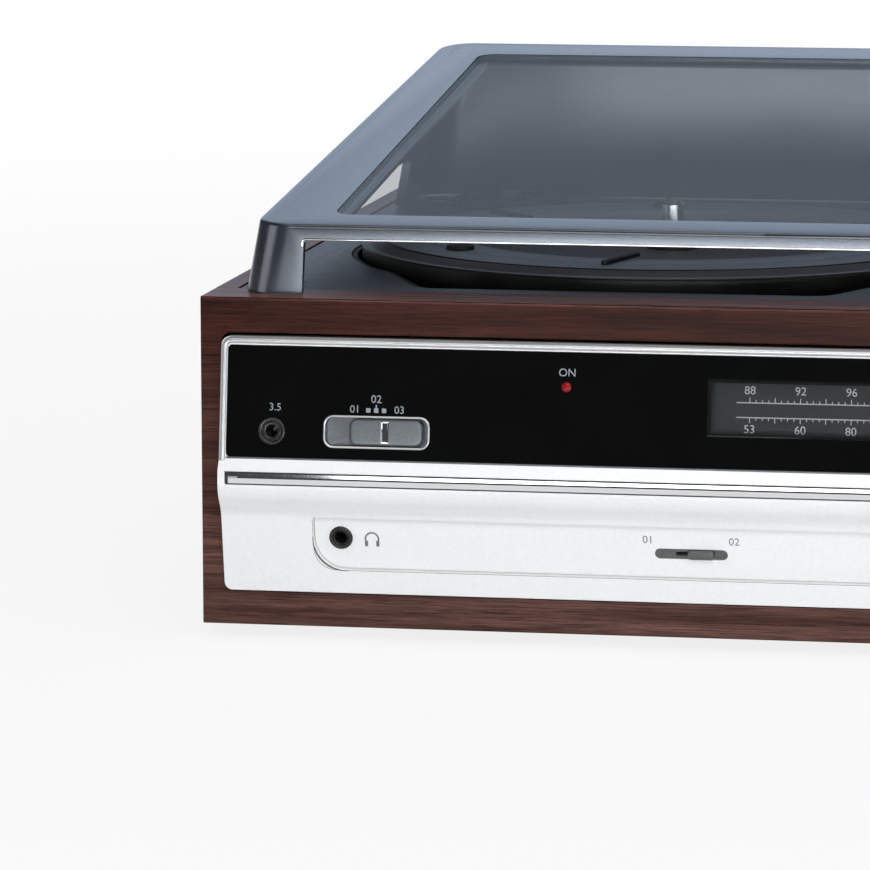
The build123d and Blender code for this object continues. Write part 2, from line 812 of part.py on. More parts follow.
with BuildPart() as tuning_drum:
    with BuildSketch(upper_plane(drum_depth + drum_thickness)):
        with Locations((drum_x, -drum_drop)):
            Circle(drum_radius + 1)
            with PolarLocations(drum_radius * 0.58, 5):
                Circle(5.5, mode=Mode.SUBTRACT)
    extrude(amount=drum_thickness)
    with BuildSketch(upper_plane(drum_depth + drum_thickness / 2 + 0.7)):
        with Locations((drum_x, -drum_drop)):
            Circle(drum_radius + 2)
            Circle(drum_radius, mode=Mode.SUBTRACT)
    extrude(amount=1.4, mode=Mode.SUBTRACT)
    with BuildSketch(upper_plane(drum_depth + drum_thickness)):
        with Locations((drum_x, -drum_drop)):
            Circle(shaft_radius)
    extrude(amount=-(chassis_depth + chassis_sheet + 10 - drum_depth - drum_thickness))
tuning_drum.part.label = "tuning_drum"

carriage_front = scale_depth - 1.4
carriage_back = cord_depth - cord_size / 2 - slide_gap
with BuildPart() as dial_pointer:
    with BuildSketch(upper_plane(carriage_front + 0.6)):
        with Locations((dial_x, -(rail_drop + dial_drop + dial_height / 2) / 2)):
            Rectangle(0.9, dial_drop + dial_height / 2 - rail_drop)
    extrude(amount=0.6)
    with BuildSketch(upper_plane(carriage_back)):
        with Locations((dial_x, -rail_drop - 0.1)):
            Rectangle(8, 3.8)
    extrude(amount=carriage_back - carriage_front)
    with BuildSketch(Plane.YZ.offset(dial_x - 5)):
        with Locations(rail_point):
            Circle(1 + shaft_gap)
    extrude(amount=10, mode=Mode.SUBTRACT)
dial_pointer.part.label = "dial_pointer"

cord_wheels = [
    (left_pulley, pulley_size),
    (right_pulley, pulley_size),
    ((tuning_x, -knob_drop), shaft_radius),
    ((drum_x, -drum_drop), drum_radius),
]
cord_plane = upper_plane(cord_depth + cord_size / 2)
with BuildPart() as dial_cord:
    extrude(loop(cord_plane, cord_wheels, cord_gap + cord_size), amount=cord_size)
    extrude(loop(cord_plane, cord_wheels, cord_gap), amount=cord_size, mode=Mode.SUBTRACT)
dial_cord.part.label = "dial_cord"

# ================================================================ electronics and back
circuit_x = from_left(circuit_from_left + circuit_length / 2)
circuit_y = from_front(circuit_from_front)
with BuildPart() as main_board:
    with BuildSketch(level(circuit_level)):
        with Locations((circuit_x, circuit_y)):
            Rectangle(circuit_length, circuit_depth)
    extrude(amount=circuit_sheet)
    with BuildSketch(level(base_thickness)):
        with Locations((circuit_x, circuit_y)):
            with GridLocations(circuit_length - 12, circuit_depth - 12, 2, 2):
                Circle(3)
    extrude(amount=circuit_level - base_thickness)
    board_top = circuit_level + circuit_sheet
    with BuildSketch(level(board_top)):
        with Locations((circuit_x + 60, circuit_y + 45)):
            with GridLocations(20, 22, 3, 2):
                Circle(6.5)
    extrude(amount=22)
    with BuildSketch(level(board_top)):
        with Locations((circuit_x - 20, circuit_y + 50)):
            Rectangle(46, 4)
            with GridLocations(6, 0, 8, 1):
                Rectangle(1.4, 14)
    extrude(amount=24)
    with BuildSketch(level(board_top)):
        with Locations((circuit_x - 25, circuit_y - 25)):
            with GridLocations(18, 16, 4, 2):
                Rectangle(8, 8)
        with Locations((circuit_x + 45, circuit_y - 25)):
            with GridLocations(26, 20, 2, 2):
                Rectangle(19, 7)
    extrude(amount=9)
    with BuildSketch(level(board_top)):
        with Locations((circuit_x, circuit_y - 62)):
            with GridLocations(60, 0, 2, 1):
                Rectangle(6, 12)
    extrude(amount=8)
    with BuildSketch(Plane.YZ.offset(circuit_x - 45)):
        with Locations((circuit_y - 62, above_base(board_top + 11))):
            Circle(5)
    extrude(amount=90)
main_board.part.label = "main_board"

with BuildPart() as power_transformer:
    length, depth, height = transformer
    with BuildSketch(level(base_thickness)):
        with Locations((from_right(transformer_from_right), from_back(transformer_from_back))):
            Rectangle(length, depth * 0.55)
            with GridLocations(length + 8, 0, 2, 1):
                Rectangle(10, 14)
    extrude(amount=2)
    with BuildSketch(level(base_thickness + 2)):
        with Locations((from_right(transformer_from_right), from_back(transformer_from_back))):
            Rectangle(length, depth * 0.55)
    extrude(amount=height)
    with BuildSketch(level(base_thickness + 9)):
        with Locations((from_right(transformer_from_right), from_back(transformer_from_back))):
            RectangleRounded(length - 18, depth, 4)
    extrude(amount=height - 14)
power_transformer.part.label = "power_transformer"

rear_z = above_base(rear_plate_level)
socket_places = [(rear_plate_x + 30 + 22 * i, rear_z + 9 * side) for i in (0, 1) for side in (-1, 1)]
aerial_place = (rear_plate_x + 76, rear_z)
inlet_place = (rear_plate_x - 74, rear_z)
rocker_place = (rear_plate_x - 40, rear_z)
inlet_size = (17.0, 10.5)
rocker_hole = (20.0, 13.0)
with BuildPart() as rear_panel:
    with BuildSketch(rear_face):
        with Locations((rear_plate_x, rear_z)):
            RectangleRounded(rear_plate_length, rear_plate_height, 4)
        with Locations(*socket_places, aerial_place):
            Circle(socket_radius + 1.0, mode=Mode.SUBTRACT)
        with Locations(inlet_place):
            Rectangle(*inlet_size, mode=Mode.SUBTRACT)
        with Locations(rocker_place):
            Rectangle(*rocker_hole, mode=Mode.SUBTRACT)
    extrude(amount=-rear_plate_thickness)
rear_panel.part.label = "rear_panel"

plate_back = rear_face.offset(-rear_plate_thickness)
with BuildPart() as rear_sockets:
    with BuildSketch(plate_back):
        with Locations(*socket_places, aerial_place):
            Circle(socket_radius)
    extrude(amount=-socket_reach)
    with BuildSketch(rear_face):
        with Locations(*socket_places, aerial_place):
            Circle(socket_radius + 1.0)
    extrude(amount=-rear_plate_thickness)
    with BuildSketch(rear_face):
        with Locations(*socket_places, aerial_place):
            Rectangle(11, 11)
    extrude(amount=board + 4)
    with BuildSketch(plate_back.offset(-socket_reach)):
        with Locations(*socket_places, aerial_place):
            Circle(1.6)
    extrude(amount=socket_reach + rear_plate_thickness, mode=Mode.SUBTRACT)
rear_sockets.part.label = "rear_sockets"

with BuildPart() as mains_inlet:
    with BuildSketch(plate_back):
        with Locations(inlet_place):
            RectangleRounded(inlet_size[0] + 5, inlet_size[1] + 5, 2)
            SlotOverall(15, 8.5, mode=Mode.SUBTRACT)
    extrude(amount=-1.5)
    with BuildSketch(plate_back):
        with Locations(inlet_place):
            Rectangle(inlet_size[0] - 0.4, inlet_size[1] - 0.4)
            SlotOverall(15, 8.5, mode=Mode.SUBTRACT)
    extrude(amount=16)
    with BuildSketch(plate_back.offset(16)):
        with Locations(inlet_place):
            Rectangle(inlet_size[0] - 0.4, inlet_size[1] - 0.4)
    extrude(amount=3)
    with BuildSketch(plate_back.offset(16)):
        with Locations(inlet_place):
            with GridLocations(6.6, 0, 2, 1):
                Circle(1.1)
    extrude(amount=-10)
mains_inlet.part.label = "mains_inlet"

rocker_frame = 1.6
rocker_axis_depth = 5.0
with BuildPart() as power_switch:
    with BuildSketch(plate_back):
        with Locations(rocker_place):
            RectangleRounded(rocker_hole[0] + 4, rocker_hole[1] + 4, 1)
            Rectangle(rocker_hole[0] - 2 * rocker_frame, rocker_hole[1] - 2 * rocker_frame, mode=Mode.SUBTRACT)
    extrude(amount=-1.5)
    with BuildSketch(plate_back):
        with Locations(rocker_place):
            Rectangle(rocker_hole[0] - 0.4, rocker_hole[1] - 0.4)
            Rectangle(rocker_hole[0] - 2 * rocker_frame, rocker_hole[1] - 2 * rocker_frame, mode=Mode.SUBTRACT)
    extrude(amount=14)
    with BuildSketch(plate_back.offset(14)):
        with Locations(rocker_place):
            Rectangle(rocker_hole[0] - 0.4, rocker_hole[1] - 0.4)
    extrude(amount=3)
power_switch.part.label = "power_switch"

rocker_length = rocker_hole[0] - 2 * rocker_frame - 2 * slide_gap
rocker_width = rocker_hole[1] - 2 * rocker_frame - 2 * slide_gap
rocker_y = from_front(cabinet_depth) + rear_plate_thickness - rocker_axis_depth
with BuildPart() as power_rocker:
    with BuildSketch(Plane.XY.offset(rocker_place[1] - rocker_width / 2)):
        with BuildLine():
            Polyline(
                (rocker_place[0] - rocker_length / 2 + 0.8, rocker_y),
                (rocker_place[0] - rocker_length / 2 + 1.2, rocker_y + 7.4),
                (rocker_place[0], rocker_y + 6.2),
                (rocker_place[0] + rocker_length / 2 - 1.2, rocker_y + 7.4),
                (rocker_place[0] + rocker_length / 2 - 0.8, rocker_y),
                (rocker_place[0], rocker_y - 3),
                close=True,
            )
        make_face()
        with Locations((rocker_place[0], rocker_y)):
            Circle(3)
    extrude(amount=rocker_width)
power_rocker.part.label = "power_rocker"

# ================================================================ deck and the platter's well
platter = (platter_x, platter_y)


def well_outline(plane, grow):
    """The well in plan, a circle widened to a squared front for the fingers, grown all round."""
    front = well_radius + grow
    with BuildSketch(plane) as outline:
        with Locations(platter):
            Circle(well_radius + grow)
        with BuildLine():
            Polyline(
                (platter_x - hand_well_front - grow, platter_y - front),
                (platter_x + hand_well_front + grow, platter_y - front),
                (platter_x + hand_well_back + grow, platter_y - hand_well_depth),
                (platter_x - hand_well_back - grow, platter_y - hand_well_depth),
                close=True,
            )
        make_face()
        corners = outline.vertices().group_by(Axis.Y)[0].sort_by(Axis.X)
        fillet((corners[0], corners[-1]), radius=hand_well_corner + grow)
    return outline.sketch


deck_length = cabinet_width - 2 * board - 2 * seat_gap
deck_depth = cabinet_depth - front_board - board - 2 * seat_gap
deck_middle = from_front(front_board + seat_gap + deck_depth / 2)
boss_radius = stub_radius + 2.0
disc_place = (from_left(disc_from_left), from_back(disc_from_back))
disc_radius = 19.0
speed_place = (from_right(controls_from_right), from_front(112))
stop_place = (from_right(controls_from_right), from_front(150))
stop_hole = (18.0, 9.0)
deck_surface = Plane.XY.offset(deck_top)
deck_underside = deck_surface.offset(-deck_sheet)
with BuildPart() as deck_plate:
    with BuildSketch(deck_surface):
        with Locations((0, deck_middle)):
            RectangleRounded(deck_length, deck_depth, 2)
        with Locations((arm_x, arm_y)):
            Circle(boss_radius + seat_gap, mode=Mode.SUBTRACT)
        with Locations(speed_place):
            Circle(shaft_radius + shaft_gap, mode=Mode.SUBTRACT)
        with Locations(stop_place):
            Rectangle(*stop_hole, mode=Mode.SUBTRACT)
        with Locations(*screw_places):
            Circle(screw_radius + 0.2, mode=Mode.SUBTRACT)
    extrude(amount=-deck_sheet)
    extrude(well_outline(deck_surface, well_wall + seat_gap), amount=-deck_sheet, mode=Mode.SUBTRACT)
    with BuildSketch(deck_surface):
        with Locations(disc_place):
            Circle(disc_radius + 1)
    extrude(amount=-1, mode=Mode.SUBTRACT)
    with BuildSketch(deck_surface.offset(-1)):
        with Locations(disc_place):
            Circle(spindle_radius)
    extrude(amount=6)
    with BuildSketch(deck_surface):
        with Locations(*screw_places):
            Circle(screw_head + 0.2)
    extrude(amount=-1, mode=Mode.SUBTRACT)
deck_plate.part.label = "deck_plate"

with BuildPart() as deck_screws:
    with BuildSketch(deck_surface.offset(-1)):
        with Locations(*screw_places):
            Circle(screw_head)
    extrude(amount=0.8)
    with BuildSketch(deck_surface.offset(-1)):
        with Locations(*screw_places):
            Circle(screw_radius)
    extrude(amount=-(deck_sheet + cleat_height - 3))
    with BuildSketch(deck_surface.offset(-0.2)):
        with Locations(*screw_places):
            Rectangle(4, 0.8)
            Rectangle(0.8, 4)
    extrude(amount=-0.5, mode=Mode.SUBTRACT)
deck_screws.part.label = "deck_screws"

pulley_angle = radians(150)
pulley_place = (
    platter_x + pulley_distance * cos(pulley_angle),
    platter_y + pulley_distance * sin(pulley_angle),
)
floor_plane = level(well_floor_height)
with BuildPart() as well_pan:
    extrude(well_outline(floor_plane.offset(-well_floor), well_wall), amount=well_floor)
    rim_height = deck_top - 0.3 - above_base(well_floor_height)
    extrude(well_outline(floor_plane, well_wall), amount=rim_height)
    extrude(well_outline(floor_plane, 0), amount=rim_height, mode=Mode.SUBTRACT)
    flange_plane = deck_underside.offset(-2)
    extrude(well_outline(flange_plane, well_wall + well_flange), amount=2)
    extrude(well_outline(flange_plane, 0), amount=2, mode=Mode.SUBTRACT)
    with BuildSketch(floor_plane):
        with Locations(platter):
            Circle(6)
        with Locations(pulley_place):
            Circle(pulley_radius + 2.5)
            with PolarLocations(14, 3, 30):
                Circle(1.6)
    extrude(amount=-well_floor, mode=Mode.SUBTRACT)
well_pan.part.label = "well_pan"

# ================================================================ platter, bearing and drive
platter_axis = Axis((platter_x, platter_y, 0), (0, 0, 1))
platter_section = Plane(origin=(platter_x, platter_y, 0), x_dir=(1, 0, 0), z_dir=(0, -1, 0))
bearing_top = hub_bottom - seat_gap
bearing_shank = 5.9
pin_bottom = label_height + cap_rise + 0.5
with BuildPart() as spindle:
    with BuildSketch(platter_section):
        with BuildLine():
            Polyline(
                (0, above_base(well_floor_height - 8)),
                (bearing_shank, above_base(well_floor_height - 8)),
                (bearing_shank, above_base(well_floor_height)),
                (12, above_base(well_floor_height)),
                (12, above_base(well_floor_height + 2)),
                (hub_radius, above_base(well_floor_height + 2)),
                (hub_radius, above_base(bearing_top)),
                (bearing_radius, above_base(bearing_top)),
                (bearing_radius, above_base(pin_bottom - 0.3)),
                (spindle_radius - 0.3, above_base(pin_bottom - 0.3)),
                (spindle_radius - 0.3, above_base(pin_bottom)),
                (spindle_radius, above_base(pin_bottom)),
                (spindle_radius, above_base(spindle_top - 2)),
                (spindle_radius - 1.4, above_base(spindle_top)),
                (0, above_base(spindle_top)),
                close=True,
            )
        make_face()
    revolve(axis=platter_axis)
spindle.part.label = "spindle"

under_label = label_height - platter_sheet
under_ring = platter_ring_height - platter_sheet
skirt_inside = platter_radius - platter_sheet
with BuildPart() as platter_disc:
    with BuildSketch(platter_section):
        with BuildLine():
            Polyline(
                (bearing_radius + shaft_gap, above_base(hub_bottom)),
                (hub_radius, above_base(hub_bottom)),
                (hub_radius, above_base(under_label)),
                (belt_rim_radius - 2, above_base(under_label)),
                (belt_rim_radius - 2, above_base(belt_rim_bottom)),
                (belt_rim_radius, above_base(belt_rim_bottom)),
                (belt_rim_radius, above_base(under_label)),
                (label_radius + 1.5, above_base(under_label)),
                (label_radius + 2.5, above_base(under_ring)),
                (platter_ring_radius - 2, above_base(under_ring)),
                (skirt_inside, above_base(platter_rim_height - 2)),
                (skirt_inside, above_base(platter_rim_height - skirt_drop)),
                (platter_radius, above_base(platter_rim_height - skirt_drop)),
                (platter_radius, above_base(platter_rim_height)),
                (platter_ring_radius, above_base(platter_ring_height)),
                (label_radius, above_base(platter_ring_height)),
                (label_radius - 1, above_base(label_height)),
                (bearing_radius + shaft_gap, above_base(label_height)),
                close=True,
            )
        make_face()
    revolve(axis=platter_axis)
platter_disc.part.label = "platter"

with BuildPart() as hub_cap:
    with BuildSketch(level(label_height)):
        with Locations(platter):
            Circle(cap_radius)
            Circle(bearing_radius + slide_gap, mode=Mode.SUBTRACT)
    extrude(amount=cap_rise, taper=20)
hub_cap.part.label = "hub_cap"

rib_length = ((rib_outer[0] - rib_inner[0]) ** 2 + (rib_outer[1] - rib_inner[1]) ** 2) ** 0.5
rib_turn = degrees(atan2(rib_inner[1] - rib_outer[1], rib_inner[0] - rib_outer[0]))
rib_middle = ((rib_outer[0] + rib_inner[0]) / 2, (rib_outer[1] + rib_inner[1]) / 2)
with BuildPart() as platter_pads:
    with BuildSketch(level(platter_ring_height)):
        with Locations(platter):
            with PolarLocations(pad_circle, pads, pad_angle):
                Circle(pad_radius)
    extrude(amount=pad_rise, taper=12)
    with BuildSketch(level(platter_ring_height)):
        with Locations(platter):
            with PolarLocations(0, pads):
                with Locations(Location(rib_middle, rib_turn)):
                    RectangleRounded(rib_length, rib_width, 1)
    extrude(amount=pad_rise)
platter_pads.part.label = "platter_pads"

with BuildPart() as motor:
    with BuildSketch(level(well_floor_height - well_floor)):
        with Locations(pulley_place):
            Circle(motor_radius)
    extrude(amount=-motor_height)
    fillet(motor.edges().group_by(Axis.Z)[0], radius=2)
    with BuildSketch(level(well_floor_height - well_floor)):
        with Locations(pulley_place):
            Circle(pulley_radius + 2)
    extrude(amount=well_floor)
    with BuildSketch(level(well_floor_height)):
        with Locations(pulley_place):
            Circle(1 + shaft_gap)
    extrude(amount=-motor_height, mode=Mode.SUBTRACT)
motor.part.label = "motor"

pulley_bottom = well_floor_height + 2
pulley_top = belt_rim_bottom + 6.5
with BuildPart() as motor_pulley:
    with BuildSketch(level(pulley_bottom)):
        with Locations(pulley_place):
            Circle(pulley_radius + 1)
    extrude(amount=1)
    with BuildSketch(level(pulley_bottom + 1)):
        with Locations(pulley_place):
            Circle(pulley_radius)
    extrude(amount=pulley_top - pulley_bottom - 1)
    with BuildSketch(level(pulley_bottom)):
        with Locations(pulley_place):
            Circle(1)
    extrude(amount=-15)
motor_pulley.part.label = "motor_pulley"

belt_bottom = (belt_rim_bottom + pulley_top - belt_width) / 2
belt_wheels = [(platter, belt_rim_radius), (pulley_place, pulley_radius)]
with BuildPart() as drive_belt:
    extrude(loop(level(belt_bottom), belt_wheels, seat_gap + belt_thickness), amount=belt_width)
    extrude(loop(level(belt_bottom), belt_wheels, seat_gap), amount=belt_width, mode=Mode.SUBTRACT)
drive_belt.part.label = "drive_belt"

with BuildPart() as adaptor_disc:
    with BuildSketch(deck_surface.offset(-1)):
        with Locations(disc_place):
            Circle(disc_radius)
            Circle(spindle_radius + slide_gap, mode=Mode.SUBTRACT)
    extrude(amount=4)
    with BuildSketch(deck_surface.offset(3)):
        with Locations(disc_place):
            Circle(disc_radius - 5)
            Circle(spindle_radius + 3, mode=Mode.SUBTRACT)
    extrude(amount=-1.5, mode=Mode.SUBTRACT)
adaptor_disc.part.label = "adaptor_disc"

# ================================================================ tonearm
out_angle = radians(arm_rest_angle)
reach = (arm_length * sin(out_angle), -arm_length * cos(out_angle), head_height - arm_height)
pivot = (arm_x, arm_y, above_base(arm_height))
# Along the arm is local X, outwards is local Y, and the plane leans with the arm.
arm_plane = Plane(
    origin=pivot,
    x_dir=reach,
    z_dir=(-reach[0] * reach[2], -reach[1] * reach[2], reach[0] ** 2 + reach[1] ** 2),
)
pivot_plan = Plane(origin=(arm_x, arm_y, 0), x_dir=(sin(out_angle), -cos(out_angle), 0), z_dir=(0, 0, 1))


def across(along):
    """A plane square to the arm, at a distance from its pivot towards the stylus."""
    return Plane(arm_plane.from_local_coords(Vector(along, 0, 0)), x_dir=arm_plane.y_dir, z_dir=arm_plane.x_dir)


def round_pivot(angle, distance):
    """A place on the deck, turned from the resting arm's direction about its pivot."""
    turn = out_angle + radians(angle)
    return (arm_x + distance * sin(turn), arm_y - distance * cos(turn))


tube_drop = (arm_height - head_height) / arm_length
lift_top = above_base(arm_height - tube_drop * lift_distance) - arm_tube_radius - lift_room
cue_z = lift_top - lift_flat
cue_x = arm_x + cue_from_pivot
cue_y = arm_y - lift_distance
cue_ear = 2.0
cue_hub = 6.0
ear_radius = lift_radius + 1.8
ear_offset = cue_hub / 2 + slide_gap + cue_ear / 2
ear_places = (arm_x - lift_reach, cue_x - ear_offset, cue_x + ear_offset)
with BuildPart() as arm_base:
    with BuildSketch(deck_surface):
        with Locations((arm_x, arm_y)):
            Circle(arm_base_radius)
        with Locations((ear_places[0], cue_y), (cue_x, cue_y)):
            Circle(7)
        make_hull()
    extrude(amount=arm_plate)
    with BuildSketch(deck_surface.offset(arm_plate)):
        with Locations((arm_x, arm_y)):
            Circle(arm_base_radius - 1)
    extrude(amount=above_base(arm_base_top) - deck_top - arm_plate, taper=12)
    with BuildSketch(deck_surface):
        with Locations((arm_x, arm_y)):
            Circle(boss_radius)
    extrude(amount=-9)
    with BuildSketch(deck_surface.offset(-9)):
        with Locations((arm_x, arm_y)):
            Circle(stub_radius + shaft_gap)
    extrude(amount=30, mode=Mode.SUBTRACT)
    for ear in ear_places:
        with BuildSketch(Plane.YZ.offset(ear)):
            with Locations((cue_y, (deck_top + arm_plate + cue_z) / 2)):
                Rectangle(2 * ear_radius, cue_z - deck_top - arm_plate)
            with Locations((cue_y, cue_z)):
                Circle(ear_radius)
                Circle(lift_radius + shaft_gap, mode=Mode.SUBTRACT)
        extrude(amount=cue_ear / 2, both=True)
arm_base.part.label = "arm_base"

with BuildPart() as deck_nuts:
    with BuildSketch(deck_underside):
        with Locations((arm_x, arm_y)):
            RegularPolygon(boss_radius + 4, 6)
            Circle(boss_radius, mode=Mode.SUBTRACT)
    extrude(amount=-4)
    with BuildSketch(level(well_floor_height - well_floor)):
        with Locations(platter):
            RegularPolygon(bearing_shank + 4, 6)
            Circle(bearing_shank, mode=Mode.SUBTRACT)
    extrude(amount=-4)
deck_nuts.part.label = "deck_nuts"

disc_bottom = above_base(arm_base_top) + seat_gap
with BuildPart() as arm_yoke:
    with BuildSketch(pivot_plan.offset(disc_bottom)):
        Circle(yoke_radius)
    extrude(amount=3)
    with BuildSketch(pivot_plan.offset(disc_bottom)):
        Circle(stub_radius)
    extrude(amount=-(disc_bottom - deck_top + 7))
    for side in (-1, 1):
        with BuildSketch(pivot_plan.offset(disc_bottom + 3)):
            with Locations((0, side * (yoke_mouth + yoke_cheek) / 2)):
                Rectangle(11, yoke_cheek)
        extrude(amount=above_base(arm_height) + 4 - disc_bottom - 3)
    trunnion_plane = Plane(origin=pivot, x_dir=(0, 0, 1), z_dir=arm_plane.y_dir)
    with BuildSketch(trunnion_plane):
        Circle(trunnion_radius + shaft_gap)
    extrude(amount=yoke_mouth, both=True, mode=Mode.SUBTRACT)
arm_yoke.part.label = "arm_yoke"

tube_end = arm_length - 23.0
tail_end = weight_distance + weight_length + 4.0
with BuildPart() as arm_tube:
    with BuildSketch(across(-tail_end)):
        Circle(arm_tube_radius)
    extrude(amount=tail_end + tube_end)
    with BuildSketch(arm_plane.offset(-5)):
        RectangleRounded(15, yoke_mouth - 2, 2)
    extrude(amount=9.5)
    with BuildSketch(trunnion_plane):
        Circle(trunnion_radius)
    extrude(amount=yoke_mouth / 2 + yoke_cheek, both=True)
arm_tube.part.label = "arm_tube"

with BuildPart() as counterweight:
    with BuildSketch(across(-weight_distance)):
        Circle(weight_radius)
    extrude(amount=-weight_length)
    chamfer(counterweight.edges().filter_by(GeomType.CIRCLE), length=1)
    with BuildSketch(across(-weight_distance)):
        Circle(arm_tube_radius)
    extrude(amount=-weight_length, mode=Mode.SUBTRACT)
counterweight.part.label = "counterweight"

shell_half = 7.5
shell_sheet = 3.0
with BuildPart() as headshell:
    with BuildSketch(across(tube_end)):
        Circle(arm_tube_radius + 1.2)
    extrude(amount=6)
    with BuildSketch(arm_plane.offset(-shell_sheet / 2)):
        with BuildLine():
            Polyline(
                (tube_end + 4, -3.5),
                (tube_end + 10, -shell_half),
                (arm_length + 7, -shell_half),
                (arm_length + 9, -shell_half + 3),
                (arm_length + 9, shell_half - 3),
                (arm_length + 7, shell_half),
                (tube_end + 10, shell_half),
                (tube_end + 4, 3.5),
                close=True,
            )
        make_face()
        with Locations((arm_length + 1, shell_half + 6)):
            SlotOverall(14, 3, rotation=80)
    extrude(amount=shell_sheet)
headshell.part.label = "headshell"

head_room = head_height - stylus_height
cartridge_height = head_room - shell_sheet / 2 - 1.6
with BuildPart() as cartridge:
    with BuildSketch(arm_plane.offset(-shell_sheet / 2)):
        with Locations((arm_length - 2, 0)):
            RectangleRounded(19, 12.5, 1)
    extrude(amount=-cartridge_height, taper=4)
cartridge.part.label = "cartridge"

with BuildPart() as stylus:
    with BuildSketch(arm_plane.offset(-shell_sheet / 2 - cartridge_height)):
        with Locations((arm_length - 1, 0)):
            Rectangle(8, 4)
    extrude(amount=-0.8)
    with BuildSketch(arm_plane.offset(-shell_sheet / 2 - cartridge_height - 0.8)):
        with Locations((arm_length, 0)):
            Circle(0.8)
    extrude(amount=-0.8, taper=35)
stylus.part.label = "stylus"

rest_top = above_base(arm_height - tube_drop * rest_distance) - arm_tube_radius - seat_gap
rest_place = round_pivot(0, rest_distance)
rest_plan = Plane(origin=(*rest_place, 0), x_dir=(sin(out_angle), -cos(out_angle), 0), z_dir=(0, 0, 1))
with BuildPart() as arm_rest:
    with BuildSketch(rest_plan.offset(deck_top)):
        Circle(7)
    extrude(amount=2)
    with BuildSketch(rest_plan.offset(deck_top)):
        Circle(3)
    extrude(amount=rest_top - 3 - deck_top)
    with BuildSketch(rest_plan.offset(rest_top - 3)):
        Rectangle(7, 12)
    extrude(amount=3)
    with BuildSketch(rest_plan.offset(rest_top)):
        with Locations((0, arm_tube_radius + seat_gap + 1)):
            Rectangle(7, 1.6)
    extrude(amount=5)
arm_rest.part.label = "arm_rest"

with BuildPart() as lift_bar:
    with BuildSketch(Plane.YZ.offset(ear_places[0] - cue_ear / 2)):
        with Locations((cue_y, cue_z)):
            Circle(lift_radius)
        with Locations((cue_y, cue_z + lift_flat)):
            Rectangle(2 * lift_radius, 2 * lift_radius, align=(Align.CENTER, Align.MIN), mode=Mode.SUBTRACT)
    extrude(amount=cue_x - cue_hub / 2 - ear_places[0] + cue_ear / 2)
lift_bar.part.label = "lift_bar"

with BuildPart() as cue_lever:
    with BuildSketch(Plane.YZ.offset(cue_x)):
        with Locations((cue_y, cue_z)):
            Circle(ear_radius - 0.2)
        with BuildLine():
            Polyline(
                (cue_y, cue_z - 1.4),
                (cue_y - cue_length + 4, cue_z + 0.6),
                (cue_y - cue_length, cue_z + 3.4),
                (cue_y - cue_length, cue_z + 5),
                (cue_y - cue_length + 5, cue_z + 3),
                (cue_y, cue_z + 1.8),
                close=True,
            )
        make_face()
    extrude(amount=cue_hub / 2, both=True)
    with BuildSketch(Plane.YZ.offset(cue_x + cue_hub / 2)):
        with Locations((cue_y, cue_z)):
            Circle(lift_radius)
    extrude(amount=slide_gap + cue_ear)
cue_lever.part.label = "cue_lever"

# ================================================================ deck controls
with BuildPart() as speed_selector:
    with BuildSketch(deck_surface.offset(seat_gap)):
        with Locations(speed_place):
            Circle(9)
    extrude(amount=3, taper=8)
    with BuildSketch(deck_surface.offset(seat_gap)):
        with Locations(speed_place):
            SlotOverall(17.4, 4.5, rotation=90)
    extrude(amount=8)
    with BuildSketch(deck_surface.offset(seat_gap)):
        with Locations(speed_place):
            Circle(shaft_radius)
    extrude(amount=-(deck_sheet + 6))
speed_selector.part.label = "speed_selector"

stop_travel = 4.0
stop_grip = 4.0
with BuildPart() as stop_switch:
    with BuildSketch(deck_surface):
        with Locations(stop_place):
            RectangleRounded(stop_hole[0] + 4, stop_hole[1] + 4, 1.5)
    extrude(amount=1)
    with BuildSketch(deck_surface):
        with Locations(stop_place):
            Rectangle(stop_hole[0] - 2 * seat_gap, stop_hole[1] - 2 * seat_gap)
    extrude(amount=-8)
    with BuildSketch(deck_surface.offset(1)):
        with Locations((stop_place[0], stop_place[1])):
            Rectangle(stop_grip + stop_travel + 2 * slide_gap, 3 + 2 * slide_gap)
    extrude(amount=-5, mode=Mode.SUBTRACT)
stop_switch.part.label = "stop_switch"

with BuildPart() as stop_slider:
    with BuildSketch(deck_surface.offset(-4 + slide_gap)):
        with Locations((stop_place[0] - stop_travel / 2, stop_place[1])):
            Rectangle(stop_grip, 3)
    extrude(amount=8)
    chamfer(stop_slider.faces().sort_by(Axis.Z)[-1].edges(), length=0.4)
stop_slider.part.label = "stop_slider"

# ================================================================ lid
lid_height = 60.0
lid_bottom = above_base(cabinet_height + lid_gap)
side_draft = tan(radians(lid_side_draft))
front_draft = tan(radians(lid_front_draft))
crease_height = above_base(lid_front_height)
crease_y = from_front(lid_from_front) + (crease_height - lid_bottom) * front_draft
slope = radians(lid_slope)


def lid_form(inset):
    """The lid as a closed drafted block with its sloping top, every face set in by the same amount."""
    half = half_width - lid_from_left - inset
    depth = lid_back - lid_from_front - 2 * inset
    middle = from_front((lid_back + lid_from_front) / 2)
    with BuildPart() as form:
        with BuildSketch(Plane.XY.offset(lid_bottom)):
            with Locations((0, middle)):
                RectangleRounded(2 * half, depth, lid_corner - inset)
        with BuildSketch(Plane.XY.offset(lid_bottom + lid_height)):
            with Locations((0, middle)):
                RectangleRounded(
                    2 * (half - lid_height * side_draft),
                    depth - 2 * lid_height * front_draft,
                    lid_corner - inset,
                )
        loft(ruled=True)
        cut = Plane(origin=(0, crease_y, crease_height - inset), x_dir=(1, 0, 0), z_dir=(0, -sin(slope), cos(slope)))
        split(bisect_by=cut, keep=Keep.BOTTOM)
    return form.part


